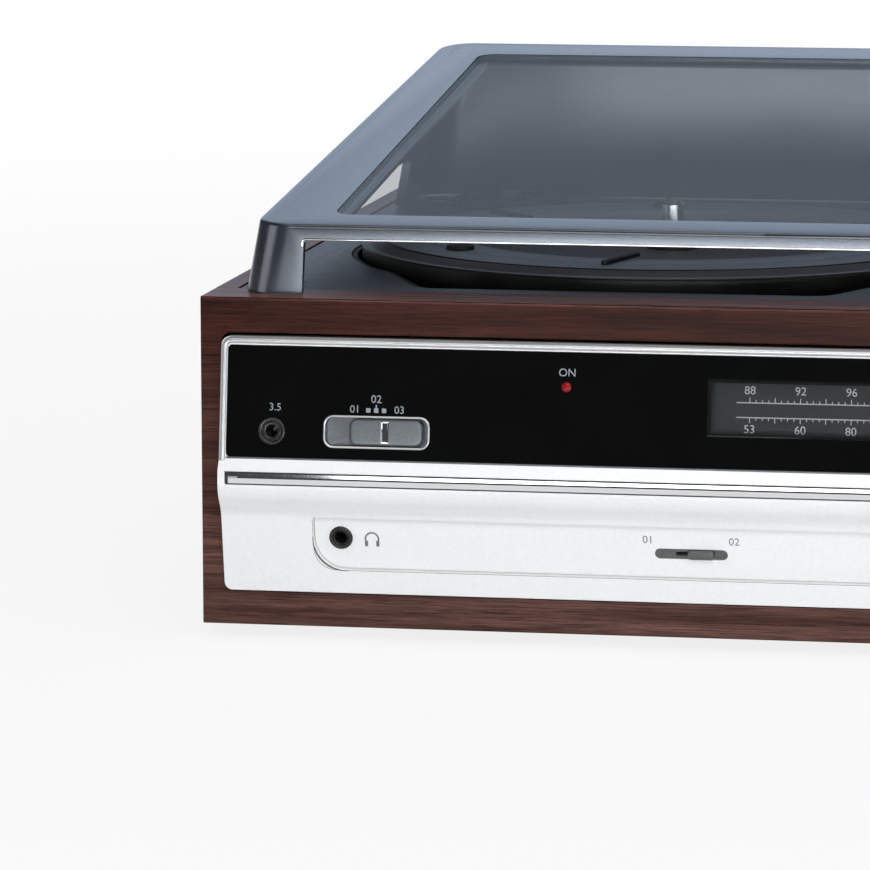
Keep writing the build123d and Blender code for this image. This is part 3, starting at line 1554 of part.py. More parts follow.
lid_top = Plane(origin=(0, crease_y, crease_height), x_dir=(1, 0, 0), z_dir=(0, -sin(slope), cos(slope)))
mouth_half = half_width - mouth_from_left
mouth_top_half = mouth_half - (mouth_height - cabinet_height) * tan(radians(mouth_lean))
side_start = from_front(side_mouth_from_front)
side_end = side_start + side_mouth_length
hinge_y = from_front(cabinet_depth - hinge_back)
hinge_z = above_base(hinge_height)
hinge_places = [side * (half_width - hinge_from_left) for side in (-1, 1)]
pane_length = pane_back - pane_front
pane_middle = (pane_back + pane_front) / 2 - lid_from_front
lid_outside = lid_form(0)
lid_inside = lid_form(lid_wall)
with BuildPart() as lid_frame:
    add(lid_outside)
    fillet(lid_frame.faces().sort_by(Axis.Z)[-1].edges(), radius=1.4)
    add(lid_inside, mode=Mode.SUBTRACT)
    # The opening in the front, down to the wood.
    with BuildSketch(Plane.XZ.offset(-from_front(lid_from_front - 2))) as front_mouth:
        with BuildLine():
            Polyline(
                (-mouth_half, lid_bottom - 1),
                (-mouth_top_half, above_base(mouth_height)),
                (mouth_top_half, above_base(mouth_height)),
                (mouth_half, lid_bottom - 1),
                close=True,
            )
        make_face()
        fillet(front_mouth.vertices().group_by(Axis.Y)[-1], radius=mouth_corner)
    extrude(amount=-(lid_wall + 3), mode=Mode.SUBTRACT)
    # The opening in the left side, which a record wider than the cabinet reaches through.
    with BuildSketch(Plane.YZ.offset(from_left(lid_from_left - 4))) as side_mouth:
        with BuildLine():
            Polyline(
                (side_start, lid_bottom - 1),
                (side_start, above_base(mouth_height)),
                (side_end, above_base(mouth_height)),
                (side_end, lid_bottom - 1),
                close=True,
            )
        make_face()
        fillet(side_mouth.vertices().group_by(Axis.Y)[-1], radius=mouth_corner)
    extrude(amount=lid_wall + 10, mode=Mode.SUBTRACT)
    # The rebate and the opening for the clear pane.
    with BuildSketch(lid_top):
        with Locations((0, pane_middle)):
            RectangleRounded(2 * pane_half_width, pane_length, 6)
    extrude(amount=-pane_thickness, mode=Mode.SUBTRACT)
    with BuildSketch(lid_top):
        with Locations((0, pane_middle)):
            RectangleRounded(2 * (pane_half_width - pane_ledge), pane_length - 2 * pane_ledge, 3)
    extrude(amount=-lid_wall - 1, mode=Mode.SUBTRACT)
    # Hinge knuckles on the back.
    for place in hinge_places:
        with BuildSketch(Plane.YZ.offset(place)):
            with Locations((hinge_y, hinge_z)):
                Circle(knuckle_radius)
            with Locations(((hinge_y + from_front(lid_back) - 1) / 2, hinge_z)):
                Rectangle(hinge_y - from_front(lid_back) + 1, 4.4)
            with Locations((hinge_y, hinge_z)):
                Circle(pin_radius + shaft_gap, mode=Mode.SUBTRACT)
        extrude(amount=knuckle_length / 2, both=True)
lid_frame.part.label = "lid_frame"

with BuildPart() as lid_pane:
    with BuildSketch(lid_top.offset(-pane_thickness)):
        with Locations((0, pane_middle)):
            RectangleRounded(2 * (pane_half_width - seat_gap), pane_length - 2 * seat_gap, 5.7)
    extrude(amount=pane_thickness - 0.1)
lid_pane.part.label = "lid_pane"

leaf_sheet = 1.5
with BuildPart() as hinge_brackets:
    for place in hinge_places:
        with BuildSketch(level(cabinet_height)):
            with Locations((place, from_front(cabinet_depth - board / 2))):
                Rectangle(knuckle_length + 2 * ear_thickness + 14, board - 0.4)
        extrude(amount=leaf_sheet)
        for side in (-1, 1):
            inner = place + side * (knuckle_length / 2 + seat_gap + ear_thickness / 2)
            with BuildSketch(Plane.YZ.offset(inner)):
                with Locations((hinge_y, hinge_z)):
                    Circle(4)
                with Locations((hinge_y, (hinge_z + above_base(cabinet_height)) / 2)):
                    Rectangle(8, hinge_z - above_base(cabinet_height) - 0.6)
            extrude(amount=ear_thickness / 2, both=True)
        with BuildSketch(Plane.YZ.offset(place)):
            with Locations((hinge_y, hinge_z)):
                Circle(pin_radius)
        extrude(amount=knuckle_length / 2 + seat_gap, both=True)
hinge_brackets.part.label = "hinge_brackets"

# ================================================================ files
os.makedirs("parts", exist_ok=True)
export_step(front_frame.part, "parts/front_frame.step")
export_step(side_boards.part, "parts/side_boards.step")
export_step(back_board.part, "parts/back_board.step")
export_step(base_board.part, "parts/base_board.step")
export_step(rubber_feet.part, "parts/rubber_feet.step")
export_step(front_panel.part, "parts/front_panel.step")
export_step(chrome_strip.part, "parts/chrome_strip.step")
export_step(dial_window.part, "parts/dial_window.step")
export_step(dial_lens.part, "parts/dial_lens.step")
export_step(dial_scale.part, "parts/dial_scale.step")
export_step(jacks.part, "parts/jacks.step")
export_step(power_led.part, "parts/power_led.step")
export_step(function_switch.part, "parts/function_switch.step")
export_step(function_slider.part, "parts/function_slider.step")
export_step(control_insert.part, "parts/control_insert.step")
export_step(band_switch.part, "parts/band_switch.step")
export_step(band_slider.part, "parts/band_slider.step")
export_step(dial_chassis.part, "parts/dial_chassis.step")
export_step(volume_pot.part, "parts/volume_pot.step")
export_step(volume_knob, "parts/volume_knob.step")
export_step(tuning_knob, "parts/tuning_knob.step")
export_step(tuning_capacitor.part, "parts/tuning_capacitor.step")
export_step(tuning_drum.part, "parts/tuning_drum.step")
export_step(dial_pointer.part, "parts/dial_pointer.step")
export_step(dial_cord.part, "parts/dial_cord.step")
export_step(main_board.part, "parts/main_board.step")
export_step(power_transformer.part, "parts/power_transformer.step")
export_step(rear_panel.part, "parts/rear_panel.step")
export_step(rear_sockets.part, "parts/rear_sockets.step")
export_step(mains_inlet.part, "parts/mains_inlet.step")
export_step(power_switch.part, "parts/power_switch.step")
export_step(power_rocker.part, "parts/power_rocker.step")
export_step(deck_plate.part, "parts/deck_plate.step")
export_step(deck_screws.part, "parts/deck_screws.step")
export_step(well_pan.part, "parts/well_pan.step")
export_step(spindle.part, "parts/spindle.step")
export_step(platter_disc.part, "parts/platter.step")
export_step(hub_cap.part, "parts/hub_cap.step")
export_step(platter_pads.part, "parts/platter_pads.step")
export_step(motor.part, "parts/motor.step")
export_step(motor_pulley.part, "parts/motor_pulley.step")
export_step(drive_belt.part, "parts/drive_belt.step")
export_step(adaptor_disc.part, "parts/adaptor_disc.step")
export_step(arm_base.part, "parts/arm_base.step")
export_step(deck_nuts.part, "parts/deck_nuts.step")
export_step(arm_yoke.part, "parts/arm_yoke.step")
export_step(arm_tube.part, "parts/arm_tube.step")
export_step(counterweight.part, "parts/counterweight.step")
export_step(headshell.part, "parts/headshell.step")
export_step(cartridge.part, "parts/cartridge.step")
export_step(stylus.part, "parts/stylus.step")
export_step(arm_rest.part, "parts/arm_rest.step")
export_step(lift_bar.part, "parts/lift_bar.step")
export_step(cue_lever.part, "parts/cue_lever.step")
export_step(speed_selector.part, "parts/speed_selector.step")
export_step(stop_switch.part, "parts/stop_switch.step")
export_step(stop_slider.part, "parts/stop_slider.step")
export_step(lid_frame.part, "parts/lid_frame.step")
export_step(lid_pane.part, "parts/lid_pane.step")
export_step(hinge_brackets.part, "parts/hinge_brackets.step")
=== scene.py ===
# %% [markdown]
# # Dressing a stereo music centre
# The object is a wooden box with a record deck under a hinged lid and a leaning tuner front.
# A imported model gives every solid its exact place, and this file gives them their looks. It
# finishes the solids with node materials, works out the rounder pieces as surfaces with numpy,
# and adds the printed marks. Blender counts in metres. Sizes in millimetres are multiplied by MM
# where points are made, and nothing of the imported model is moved.

import json
import math

import bmesh
import bpy
import numpy as np
from mathutils import Matrix, Vector


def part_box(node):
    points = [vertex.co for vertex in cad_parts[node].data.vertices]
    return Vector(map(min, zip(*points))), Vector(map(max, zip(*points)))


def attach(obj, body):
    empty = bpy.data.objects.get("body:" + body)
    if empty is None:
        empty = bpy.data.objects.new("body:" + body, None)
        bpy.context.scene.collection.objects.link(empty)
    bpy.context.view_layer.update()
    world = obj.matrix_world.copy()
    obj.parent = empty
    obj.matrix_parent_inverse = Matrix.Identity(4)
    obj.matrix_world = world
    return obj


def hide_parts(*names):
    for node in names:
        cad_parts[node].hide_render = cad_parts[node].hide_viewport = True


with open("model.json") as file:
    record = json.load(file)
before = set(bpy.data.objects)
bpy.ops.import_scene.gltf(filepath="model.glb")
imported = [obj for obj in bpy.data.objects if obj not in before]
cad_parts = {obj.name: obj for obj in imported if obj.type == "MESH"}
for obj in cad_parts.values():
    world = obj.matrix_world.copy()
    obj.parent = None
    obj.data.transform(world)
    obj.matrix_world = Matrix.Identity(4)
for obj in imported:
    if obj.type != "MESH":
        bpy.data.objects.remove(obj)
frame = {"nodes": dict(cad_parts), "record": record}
nodes = frame["nodes"]
bodies = frame["record"]["behaviour"]["bodies"]
body_of_node = {node: body for body, group in bodies.items() for node in group}
slot_of_node = {part["node"]: part["material_slot"] for part in frame["record"]["subparts"]}
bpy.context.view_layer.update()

# %% [markdown]
# ## Where things are
# Two flat faces of the front carry nearly everything: the black window, which leans back, and
# the lower panel, which leans in towards its foot. A place on either is easiest to say as a
# distance along the face and a distance up its slope. So each face gets a small helper that
# turns such a place, and a height above the face, into a point of the room.

# %% The two leaning faces
MM = 0.001
FRONT = -0.1452832  # y of the wooden front
HALF_WIDTH = 170.0  # of the cabinet, in mm
FEET = 0.004  # height of the wood over the floor


def leaning_face(y, z, angle):
    """A face through (0, y, z): its up leans back by the angle, and its normal points out."""
    return {
        "start": np.array([0.0, y, z]),
        "across": np.array([1.0, 0.0, 0.0]),
        "up": np.array([0.0, math.sin(angle), math.cos(angle)]),
        "out": np.array([0.0, -math.cos(angle), math.sin(angle)]),
    }


window_face = leaning_face(FRONT - 1.55 * MM, FEET + 88.1 * MM, math.radians(8.0))
lower_face = leaning_face(FRONT, FEET + 10.5 * MM, math.radians(-10.2))
level_face = {
    "start": np.zeros(3),
    "across": np.array([1.0, 0.0, 0.0]),
    "up": np.array([0.0, 1.0, 0.0]),
    "out": np.array([0.0, 0.0, 1.0]),
}


def on_face(face, across, up, out=0.0):
    """start + across * x + up * y + out * n, for numbers or whole arrays."""
    across, up, out = np.broadcast_arrays(across, up, out)
    return (
        face["start"]
        + across[..., None] * face["across"]
        + up[..., None] * face["up"]
        + out[..., None] * face["out"]
    )


def place_left(distance):
    """Millimetres across a face for a distance from the cabinet's left side."""
    return distance - HALF_WIDTH


starts = window_face["start"].round(4), lower_face["start"].round(4)
print("window starts at", starts[0], "lower panel at", starts[1])

# %% [markdown]
# ## The camera
# The camera comes early, so that every later step can be checked from the right place. It stands
# almost two metres away with a long lens, a little right of the front and a little above it. A
# long lens keeps the lines of a box nearly parallel, as in a catalogue picture. Its axes are
# written straight into its matrix: right, up and back, with a very small roll.

# %% Camera
azimuth, elevation, roll = (math.radians(v) for v in (11.065, 8.539, -0.213))
camera_distance = 1.87219
focal_pixels, picture_pixels = 6236.74, 870.0
back = np.array(
    [
        math.sin(azimuth) * math.cos(elevation),
        -math.cos(azimuth) * math.cos(elevation),
        math.sin(elevation),
    ]
)
right = np.array([math.cos(azimuth), math.sin(azimuth), 0.0])
up = np.cross(back, right)
rolled_right = right * math.cos(roll) + up * math.sin(roll)
rolled_up = up * math.cos(roll) - right * math.sin(roll)
target = np.array([place_left(71.98) * MM, FRONT, FEET + 59.477 * MM])
eye = target + back * camera_distance

camera_data = bpy.data.cameras.new("camera")
camera_data.sensor_width = 36.0
camera_data.lens = camera_data.sensor_width * focal_pixels / picture_pixels
camera_data.clip_start = 0.05
camera_data.clip_end = 50.0
camera = bpy.data.objects.new("camera", camera_data)
bpy.context.scene.collection.objects.link(camera)
columns = np.column_stack([rolled_right, rolled_up, back, eye])
camera.matrix_world = Matrix([*columns.tolist(), [0, 0, 0, 1]])
bpy.context.scene.camera = camera
print("lens", round(camera_data.lens, 1), "mm, from", eye.round(3))

# %% [markdown]
# ## Floor, backdrop and light
# The object stands on a plain pale floor in soft studio light. The largest lamp in front hangs
# high, a smaller one hangs overhead, one fills from each side, and a long low one lies before
# the object and draws the bright lines on its glossy parts. A wide bluish one behind it shows in
# glancing reflections, on the deck and the top of the case. A Light Path node lets the world be
# three things at once: a pale grey light for matt surfaces, nearly black in the mirror of glossy
# ones, so that black plastic stays black, and white where the camera sees it. The floor is mixed
# the same way. The camera's share is less than one near the object, so the floor keeps a soft
# shadow there, and grows to one further out, where the floor turns into the white of the world.

# %% Stage
bpy.context.scene.view_settings.view_transform = "Standard"


def add_node(tree, kind, inputs, **settings):
    """A new node, with each input set to a value or linked when it is given a node's output."""
    node = tree.nodes.new("ShaderNode" + kind)
    for setting, value in settings.items():
        setattr(node, setting, value)
    for socket, value in inputs.items():
        if isinstance(value, bpy.types.NodeSocket):
            tree.links.new(value, node.inputs[socket])
        else:
            node.inputs[socket].default_value = value
    return node


def object_place(tree):
    """Where a point lies in its object, in metres."""
    return tree.nodes.new("ShaderNodeTexCoord").outputs["Object"]


def mapped(tree, value, source, target, way="LINEAR"):
    """Maps a value from one range of (low, high) onto another."""
    inputs = {"Value": value, "From Min": source[0], "From Max": source[1]}
    inputs |= {"To Min": target[0], "To Max": target[1]}
    return add_node(tree, "MapRange", inputs, interpolation_type=way).outputs["Result"]


def new_material(name):
    """An empty node material, with its node tree and principled shader."""
    material = bpy.data.materials.new(name)
    material.use_nodes = True
    return material, material.node_tree, material.node_tree.nodes["Principled BSDF"]


def swapped_for(tree, shader, other, ray, share):
    """Mixes a share of another shader in, but only for one kind of ray."""
    path = tree.nodes.new("ShaderNodeLightPath")
    shared = add_node(tree, "Math", {0: path.outputs[ray], 1: share}, operation="MULTIPLY")
    inputs = {"Fac": shared.outputs[0], 1: shader.outputs[0], 2: other.outputs[0]}
    return add_node(tree, "MixShader", inputs)


world = bpy.data.worlds.new("studio")
world.use_nodes = True
world_tree = world.node_tree
world_light = world_tree.nodes["Background"]
world_light.inputs["Color"].default_value = (0.96, 0.98, 1.0, 1)
world_light.inputs["Strength"].default_value = 0.30
world_dark = add_node(world_tree, "Background", {"Color": (0.86, 0.93, 1.0, 1), "Strength": 0.06})
world_white = add_node(world_tree, "Background", {"Color": (1, 1, 1, 1)})
world_mix = swapped_for(world_tree, world_light, world_dark, "Is Glossy Ray", 1.0)
world_mix = swapped_for(world_tree, world_mix, world_white, "Is Camera Ray", 1.0)
world_tree.links.new(world_mix.outputs[0], world_tree.nodes["World Output"].inputs["Surface"])
bpy.context.scene.world = world

FLOOR_REACH = 9.0  # half of the floor's side
floor_material, floor_tree, floor_shader = new_material("studio_floor")
floor_shader.inputs["Base Color"].default_value = (0.84, 0.84, 0.84, 1)
floor_shader.inputs["Roughness"].default_value = 0.9
floor_shader.inputs["Specular IOR Level"].default_value = 0.0
floor_white = add_node(floor_tree, "Emission", {"Strength": 1.0})
floor_place = {0: object_place(floor_tree)}
distance = add_node(floor_tree, "VectorMath", floor_place, operation="LENGTH").outputs["Value"]
floor_share = mapped(floor_tree, distance, (0.3, 1.6), (0.84, 1.0), "SMOOTHSTEP")
floor_mix = swapped_for(floor_tree, floor_shader, floor_white, "Is Camera Ray", floor_share)
floor_mix = swapped_for(floor_tree, floor_mix, floor_white, "Is Glossy Ray", 0.35)
floor_tree.links.new(floor_mix.outputs[0], floor_tree.nodes["Material Output"].inputs["Surface"])
corner_signs = [(-1, -1), (1, -1), (1, 1), (-1, 1)]
floor_corners = [(FLOOR_REACH * x, FLOOR_REACH * y, 0) for x, y in corner_signs]
floor_mesh = bpy.data.meshes.new("studio_floor")
floor_mesh.from_pydata(floor_corners, [], [(0, 1, 2, 3)])
floor_mesh.materials.append(floor_material)
floor = bpy.data.objects.new("studio_floor", floor_mesh)
bpy.context.scene.collection.objects.link(floor)


def softbox(name, place, aim, size, power, colour=(1, 1, 1)):
    """A rectangular lamp at a place, turned to face a point."""
    lamp = bpy.data.lights.new(name, "AREA")
    lamp.shape = "RECTANGLE"
    lamp.size, lamp.size_y = size
    lamp.energy = power
    lamp.color = colour
    holder = bpy.data.objects.new(name, lamp)
    holder.location = place
    holder.rotation_euler = (Vector(aim) - Vector(place)).to_track_quat("-Z", "Y").to_euler()
    bpy.context.scene.collection.objects.link(holder)
    return holder


middle = (0.0, -0.05, 0.07)
softbox("key_front", (0.335, -1.9, 1.3), middle, (1.9, 1.0), 19.0)
softbox("top_soft", (0.1, 0.1, 1.7), middle, (1.5, 1.2), 6.0)
softbox("fill_left", (-1.9, -0.9, 0.7), middle, (1.0, 1.4), 5.0)
softbox("fill_right", (1.9, -0.8, 0.8), middle, (1.0, 1.4), 5.0)
softbox("low_strip", (0.55, -0.95, 0.03), (0.55, -0.1, 0.09), (1.7, 0.1), 6.0, (0.90, 0.95, 1.0))
rear = softbox("rear_sky", (0.2, 2.3, 0.8), (0.0, 0.0, 0.1), (4.0, 1.5), 12.0, (0.66, 0.80, 1.0))
rear.visible_camera = False

# %% [markdown]
# ## Finishes
# Nearly every finish here is one idea with other numbers: a noise that is read in Object
# coordinates, in metres, drives a colour ramp, a range of roughness and a small bump. Object
# coordinates fit this model well, because every solid keeps its place in its mesh, so a pattern
# has the same scale on each of them. Stretching the noise turns it into grain or brushing, and a
# fine one becomes moulded plastic or paint. The shader's own sockets hold whatever is constant.

# %% One helper for most finishes
finishes = {}
NOISE_RANGE = (0.3, 0.7)  # where the values of a noise mostly lie


def triple(value):
    """Three numbers as they are, or one number three times, as a grey or an even frequency."""
    return value if isinstance(value, tuple) else (value, value, value)


def noise_pattern(tree, frequency, detail=4.0, distortion=0.0):
    """A noise whose frequency, in waves per metre, may differ along x, y and z."""
    mapping = add_node(tree, "Mapping", {"Vector": object_place(tree), "Scale": triple(frequency)})
    inputs = {"Vector": mapping.outputs["Vector"], "Scale": 1.0}
    inputs |= {"Detail": detail, "Distortion": distortion}
    return add_node(tree, "TexNoise", inputs).outputs["Fac"]


def ramp(tree, value, stops):
    """A colour ramp over (position, colour) stops, fed by a value."""
    node = add_node(tree, "ValToRGB", {"Fac": value})
    elements = node.color_ramp.elements
    for stop, (position, colour) in enumerate(stops):
        element = elements[stop] if stop < 2 else elements.new(position)
        element.position = position
        element.color = (*triple(colour), 1)
    return node.outputs["Color"]


def bump(tree, shader, value, height, strength=1.0):
    """Feeds a value to the shader's normal as relief, height metres deep."""
    node = add_node(tree, "Bump", {"Height": value, "Distance": height, "Strength": strength})
    tree.links.new(node.outputs["Normal"], shader.inputs["Normal"])


def plain_finish(name, dark, light, rough, frequency, relief=0.0, metal=0.0, fine=None, **sockets):
    """Two tones and a range of roughness, both by one noise, with relief by a finer one."""
    material, tree, shader = new_material(name)
    pattern = noise_pattern(tree, frequency)
    tones = ramp(tree, pattern, list(zip(NOISE_RANGE, (dark, light))))
    tree.links.new(tones, shader.inputs["Base Color"])
    tree.links.new(mapped(tree, pattern, NOISE_RANGE, rough), shader.inputs["Roughness"])
    if relief:
        bump(tree, shader, noise_pattern(tree, fine, 2.0) if fine else pattern, relief)
    shader.inputs["Metallic"].default_value = metal
    for socket, value in sockets.items():
        shader.inputs[socket.replace("_", " ")].default_value = value
    finishes[name] = material


print("helpers ready")

# %% [markdown]
# ## Wood
# The case is board wrapped in a printed wood foil with a dull satin face. Its grain runs along
# each board, so the front needs long fibres along x, and the sides need them along y. Three
# noises make it: a broad one for the slow change of tone, a long thin one for the fibres, and a
# very thin dark one for the open pores. A fourth tint follows the height, and it is painted
# light: the foot is paler and greyer, a painted sheen from the floor, the front grows darker and
# redder upwards, and the upper faces are pale and bluish, a painted reflection. A wave texture
# could give rings, but this foil shows straight grain and has none.

# %% Wood finish


def multiplied(tree, first, second, share):
    """One colour multiplied into another by a share."""
    inputs = {"Fac": share, "Color1": first, "Color2": second}
    return add_node(tree, "MixRGB", inputs, blend_type="MULTIPLY").outputs["Color"]


def wood_finish(name, frequency_along):
    """A broad tone, with a painted sheen by height, thin fibres and dark pores multiplied in."""
    material, tree, shader = new_material(name)
    broad = noise_pattern(tree, frequency_along(8, 240), 4.0, 0.3)
    fibre = noise_pattern(tree, frequency_along(45, 2100), 5.0, 0.2)
    pore = noise_pattern(tree, frequency_along(100, 3000), 2.0)
    tone = ramp(tree, broad, [(0.36, (0.128, 0.056, 0.044)), (0.64, (0.285, 0.140, 0.112))])
    shade = ramp(tree, fibre, [(0.28, 0.22), (0.5, 0.74), (0.7, (1.0, 0.96, 0.94))])
    hollow = ramp(tree, pore, [(0.38, 0.22), (0.47, 1.0)])
    height = add_node(tree, "SeparateXYZ", {0: object_place(tree)}).outputs["Z"]
    rise = mapped(tree, height, (0.01, 0.104), (0.0, 1.0))
    # Painted light by height: a pale grey foot for the floor's sheen, a pale bluish top for a
    # reflection.
    foot, red, top_reflection = 0.60, (0.27, 0.155, 0.115), (0.95, 0.9, 1.0)
    tint = ramp(tree, rise, [(0.0, foot), (0.9, red), (0.99, red), (0.998, top_reflection)])
    fibres = multiplied(tree, multiplied(tree, tone, tint, 1.0), shade, 0.9)
    tree.links.new(multiplied(tree, fibres, hollow, 0.55), shader.inputs["Base Color"])
    tree.links.new(mapped(tree, fibre, NOISE_RANGE, (0.27, 0.36)), shader.inputs["Roughness"])
    bump(tree, shader, pore, 2e-5, 0.4)
    shader.inputs["Specular IOR Level"].default_value = 0.07
    finishes[name] = material


wood_finish("wood_along_x", lambda along, across: (along, across, across))
wood_finish("wood_along_y", lambda along, across: (across, along, across))
print("wood:", [name for name in finishes if name.startswith("wood")])

# %% [markdown]
# ## Paint, metal and plastic
# The panel is silver paint: a pale base with a very fine sparkle in its bump. The moulding round
# the window and the strip are plated metal, the one a little softer than the other. The black
# window is a sheet of gloss acrylic, so its noise only moves the polish a little. Moulded
# plastics get a fine grain, and zinc a broad cloudy one. Each line gives two tones, two values of
# roughness and the noise's frequency, and then whatever is special.

# %% Front finishes
silver_tones = (0.775, 0.77, 0.765), (0.81, 0.805, 0.80)
plain_finish("silver", *silver_tones, (0.32, 0.40), 900, relief=4e-6, metal=0.1, fine=5200)
plain_finish("moulding", 0.50, 0.56, (0.28, 0.33), (60, 300, 300), metal=0.75)
plain_finish("chrome", 0.86, (0.9, 0.9, 0.92), (0.03, 0.06), (40, 400, 400), metal=1.0)
plain_finish("black_gloss", 0.0022, 0.003, (0.03, 0.06), 60, Specular_IOR_Level=0.3)
plain_finish("jack_black", 0.008, 0.012, (0.20, 0.30), 700, relief=4e-6, fine=4000)
led_tones = (0.22, 0.002, 0.006), (0.29, 0.003, 0.009)
plain_finish("led_red", *led_tones, (0.14, 0.2), 500, Specular_IOR_Level=0.2)
slider_tones = (0.125, 0.133, 0.142), (0.18, 0.19, 0.2)
plain_finish("slider_silver", *slider_tones, (0.3, 0.4), 2600, relief=3e-6, metal=0.8, fine=5200)
plain_finish("band_grey", 0.075, 0.095, (0.3, 0.42), 900, relief=6e-6, fine=5000)
plain_finish("knob_silver", 0.50, 0.60, (0.26, 0.36), 1500, relief=3e-6, metal=0.9, fine=6000)
plain_finish("scale_black", 0.006, 0.009, (0.4, 0.5), 800, relief=5e-6, fine=5000)
plain_finish("print_grey", (0.22, 0.245, 0.27), (0.27, 0.295, 0.32), (0.45, 0.55), 4000)
plain_finish("print_white", 0.72, 0.8, (0.45, 0.55), 4000)
plain_finish("print_dark", 0.13, 0.17, (0.45, 0.55), 4000)
plain_finish("pointer_red", (0.5, 0.012, 0.01), (0.62, 0.02, 0.014), (0.3, 0.4), 700)

# %% Deck, lid and inside finishes
lid_shine = {"Specular_IOR_Level": 0.9, "Specular_Tint": (0.80, 0.88, 1.0, 1)}
lid_shine |= {"Coat_Weight": 1.0, "Coat_IOR": 1.75, "Coat_Roughness": 0.22}
lid_shine |= {"Coat_Tint": (0.9, 0.95, 1.0, 1)}
lid_tones = (0.010, 0.012, 0.017), (0.018, 0.021, 0.030)
plain_finish("lid_black", *lid_tones, (0.20, 0.27), 500, relief=1e-5, fine=2400, **lid_shine)
deck_tones = (0.062, 0.074, 0.100), (0.078, 0.093, 0.125)
deck_surface = {"relief": 2e-5, "fine": 3200, "Specular_IOR_Level": 0.7}
plain_finish("deck_blue_grey", *deck_tones, (0.36, 0.48), 700, **deck_surface)
plain_finish("well_black", 0.003, 0.006, (0.5, 0.65), 500, relief=1e-5, fine=3000)
plain_finish("adaptor_black", 0.010, 0.016, (0.3, 0.42), 700, relief=6e-6, fine=4000)
plain_finish("shell_black", 0.012, 0.018, (0.25, 0.4), 700, relief=6e-6, fine=4000)
plain_finish("arm_silver", 0.60, 0.66, (0.24, 0.30), 300, metal=0.9)
plain_finish("steel", 0.58, 0.68, (0.14, 0.24), (900, 900, 90), metal=1.0)
plain_finish("brass", (0.62, 0.43, 0.16), (0.72, 0.52, 0.21), (0.2, 0.32), 900, metal=1.0)
zinc_tones = (0.42, 0.43, 0.45), (0.6, 0.61, 0.63)
plain_finish("zinc", *zinc_tones, (0.3, 0.5), 110, relief=2e-5, metal=0.95, fine=1400)
plain_finish("rubber", 0.014, 0.022, (0.7, 0.85), 500, relief=3e-5, fine=2200)
plain_finish("board", (0.12, 0.068, 0.036), (0.2, 0.12, 0.066), (0.75, 0.9), 1300, relief=4e-5)
plain_finish("rear_black", 0.014, 0.022, (0.5, 0.65), 900, relief=3e-5, fine=2400)
plain_finish("drum_white", 0.62, 0.7, (0.4, 0.5), 800, relief=6e-6)
plain_finish("cord_tan", (0.42, 0.3, 0.16), (0.55, 0.4, 0.23), (0.6, 0.8), 4000, relief=3e-5)
circuit_tones = (0.012, 0.07, 0.03), (0.02, 0.11, 0.048)
plain_finish("circuit", *circuit_tones, (0.3, 0.5), (900, 900, 60), relief=1e-5)
plain_finish("stylus_red", (0.45, 0.012, 0.01), (0.6, 0.02, 0.016), (0.25, 0.4), 900)
print("finishes:", len(finishes))

# %% [markdown]
# ## The platter's rings
# A turned and painted platter shows its making as rings. The finish measures how far a point is
# from the spindle and looks its tone up in a ramp by that distance: a nearly black skirt, which is
# painted shade under the rim, a light lip, which is a painted highlight on the rim's edge, a grey
# band, a black groove, which is painted shade in the groove, and a blue-grey bed. A one-way noise
# of the same distance adds the faint turning marks, which cost no geometry.

# %% Platter finish
PLATTER = np.array([-47.0, -9.6832]) * MM
RAMP_REACH = 0.1  # metres from the spindle to the end of the ramp


def distance_from_spindle(tree):
    """The length of (x, y) from the platter's centre, in metres."""
    inputs = {0: object_place(tree), 1: (*PLATTER, 0)}
    shift = add_node(tree, "VectorMath", inputs, operation="SUBTRACT")
    flat = {0: shift.outputs[0], 1: (1, 1, 0)}
    flatten = add_node(tree, "VectorMath", flat, operation="MULTIPLY")
    length = add_node(tree, "VectorMath", {0: flatten.outputs[0]}, operation="LENGTH")
    return length.outputs["Value"]


platter_material, tree, shader = new_material("platter_grey")
radius = distance_from_spindle(tree)
share = add_node(tree, "Math", {0: radius, 1: 1.0 / RAMP_REACH}, operation="MULTIPLY")
# The skirt and the groove are painted shade, and the pale lip is a painted highlight.
bed, band, lip_highlight = (0.175, 0.205, 0.262), (0.066, 0.072, 0.088), (0.20, 0.215, 0.245)
label, groove_shade, skirt_shade = (0.07, 0.08, 0.1), 0.008, 0.004
ring_stops = [(0.0, label), (0.66, label), (0.67, bed), (0.918, bed), (0.922, groove_shade)]
ring_stops += [(0.934, groove_shade), (0.938, band), (0.972, band), (0.976, lip_highlight), (0.982, lip_highlight)]
rings = ramp(tree, share.outputs[0], ring_stops + [(0.986, skirt_shade)])
turning = {"W": radius, "Scale": 1400.0, "Detail": 3.0}
turning = add_node(tree, "TexNoise", turning, noise_dimensions="1D").outputs["Fac"]
marks = ramp(tree, turning, [(0.35, 0.78), (0.65, 1.0)])
tree.links.new(multiplied(tree, rings, marks, 0.8), shader.inputs["Base Color"])
tree.links.new(mapped(tree, turning, NOISE_RANGE, (0.34, 0.48)), shader.inputs["Roughness"])
bump(tree, shader, turning, 1e-5)
finishes["platter_grey"] = platter_material
print("platter rings:", len(platter_material.node_tree.nodes), "nodes")

# %% [markdown]
# ## Clear plastics
# The dial lens and the lid's pane are thin sheets. A part of the light goes straight through such
# a sheet, and the rest meets a glossy surface, which the shader's alpha says directly. Glass with
# full transmission would bend the light properly, but then no lamp could reach the deck through
# the pane without a great many samples.

# %% Clear finishes


def clear_finish(name, tint, alpha, rough):
    """A thin sheet of gloss plastic that lets a share of one less alpha straight through."""
    plain_finish(name, tint, tuple(0.8 * value for value in tint), rough, 30, Alpha=alpha)


clear_finish("clear", (0.05, 0.055, 0.06), 0.16, (0.01, 0.03))
clear_finish("lid_smoke", (0.026, 0.028, 0.032), 0.34, (0.02, 0.04))
print("clear finishes ready")

# %% [markdown]
# ## Dressing the solids
# Each solid of the frame has the name of a material slot in its record. A solid whose shape is
# right as it stands only needs the matching finish in its own slot.

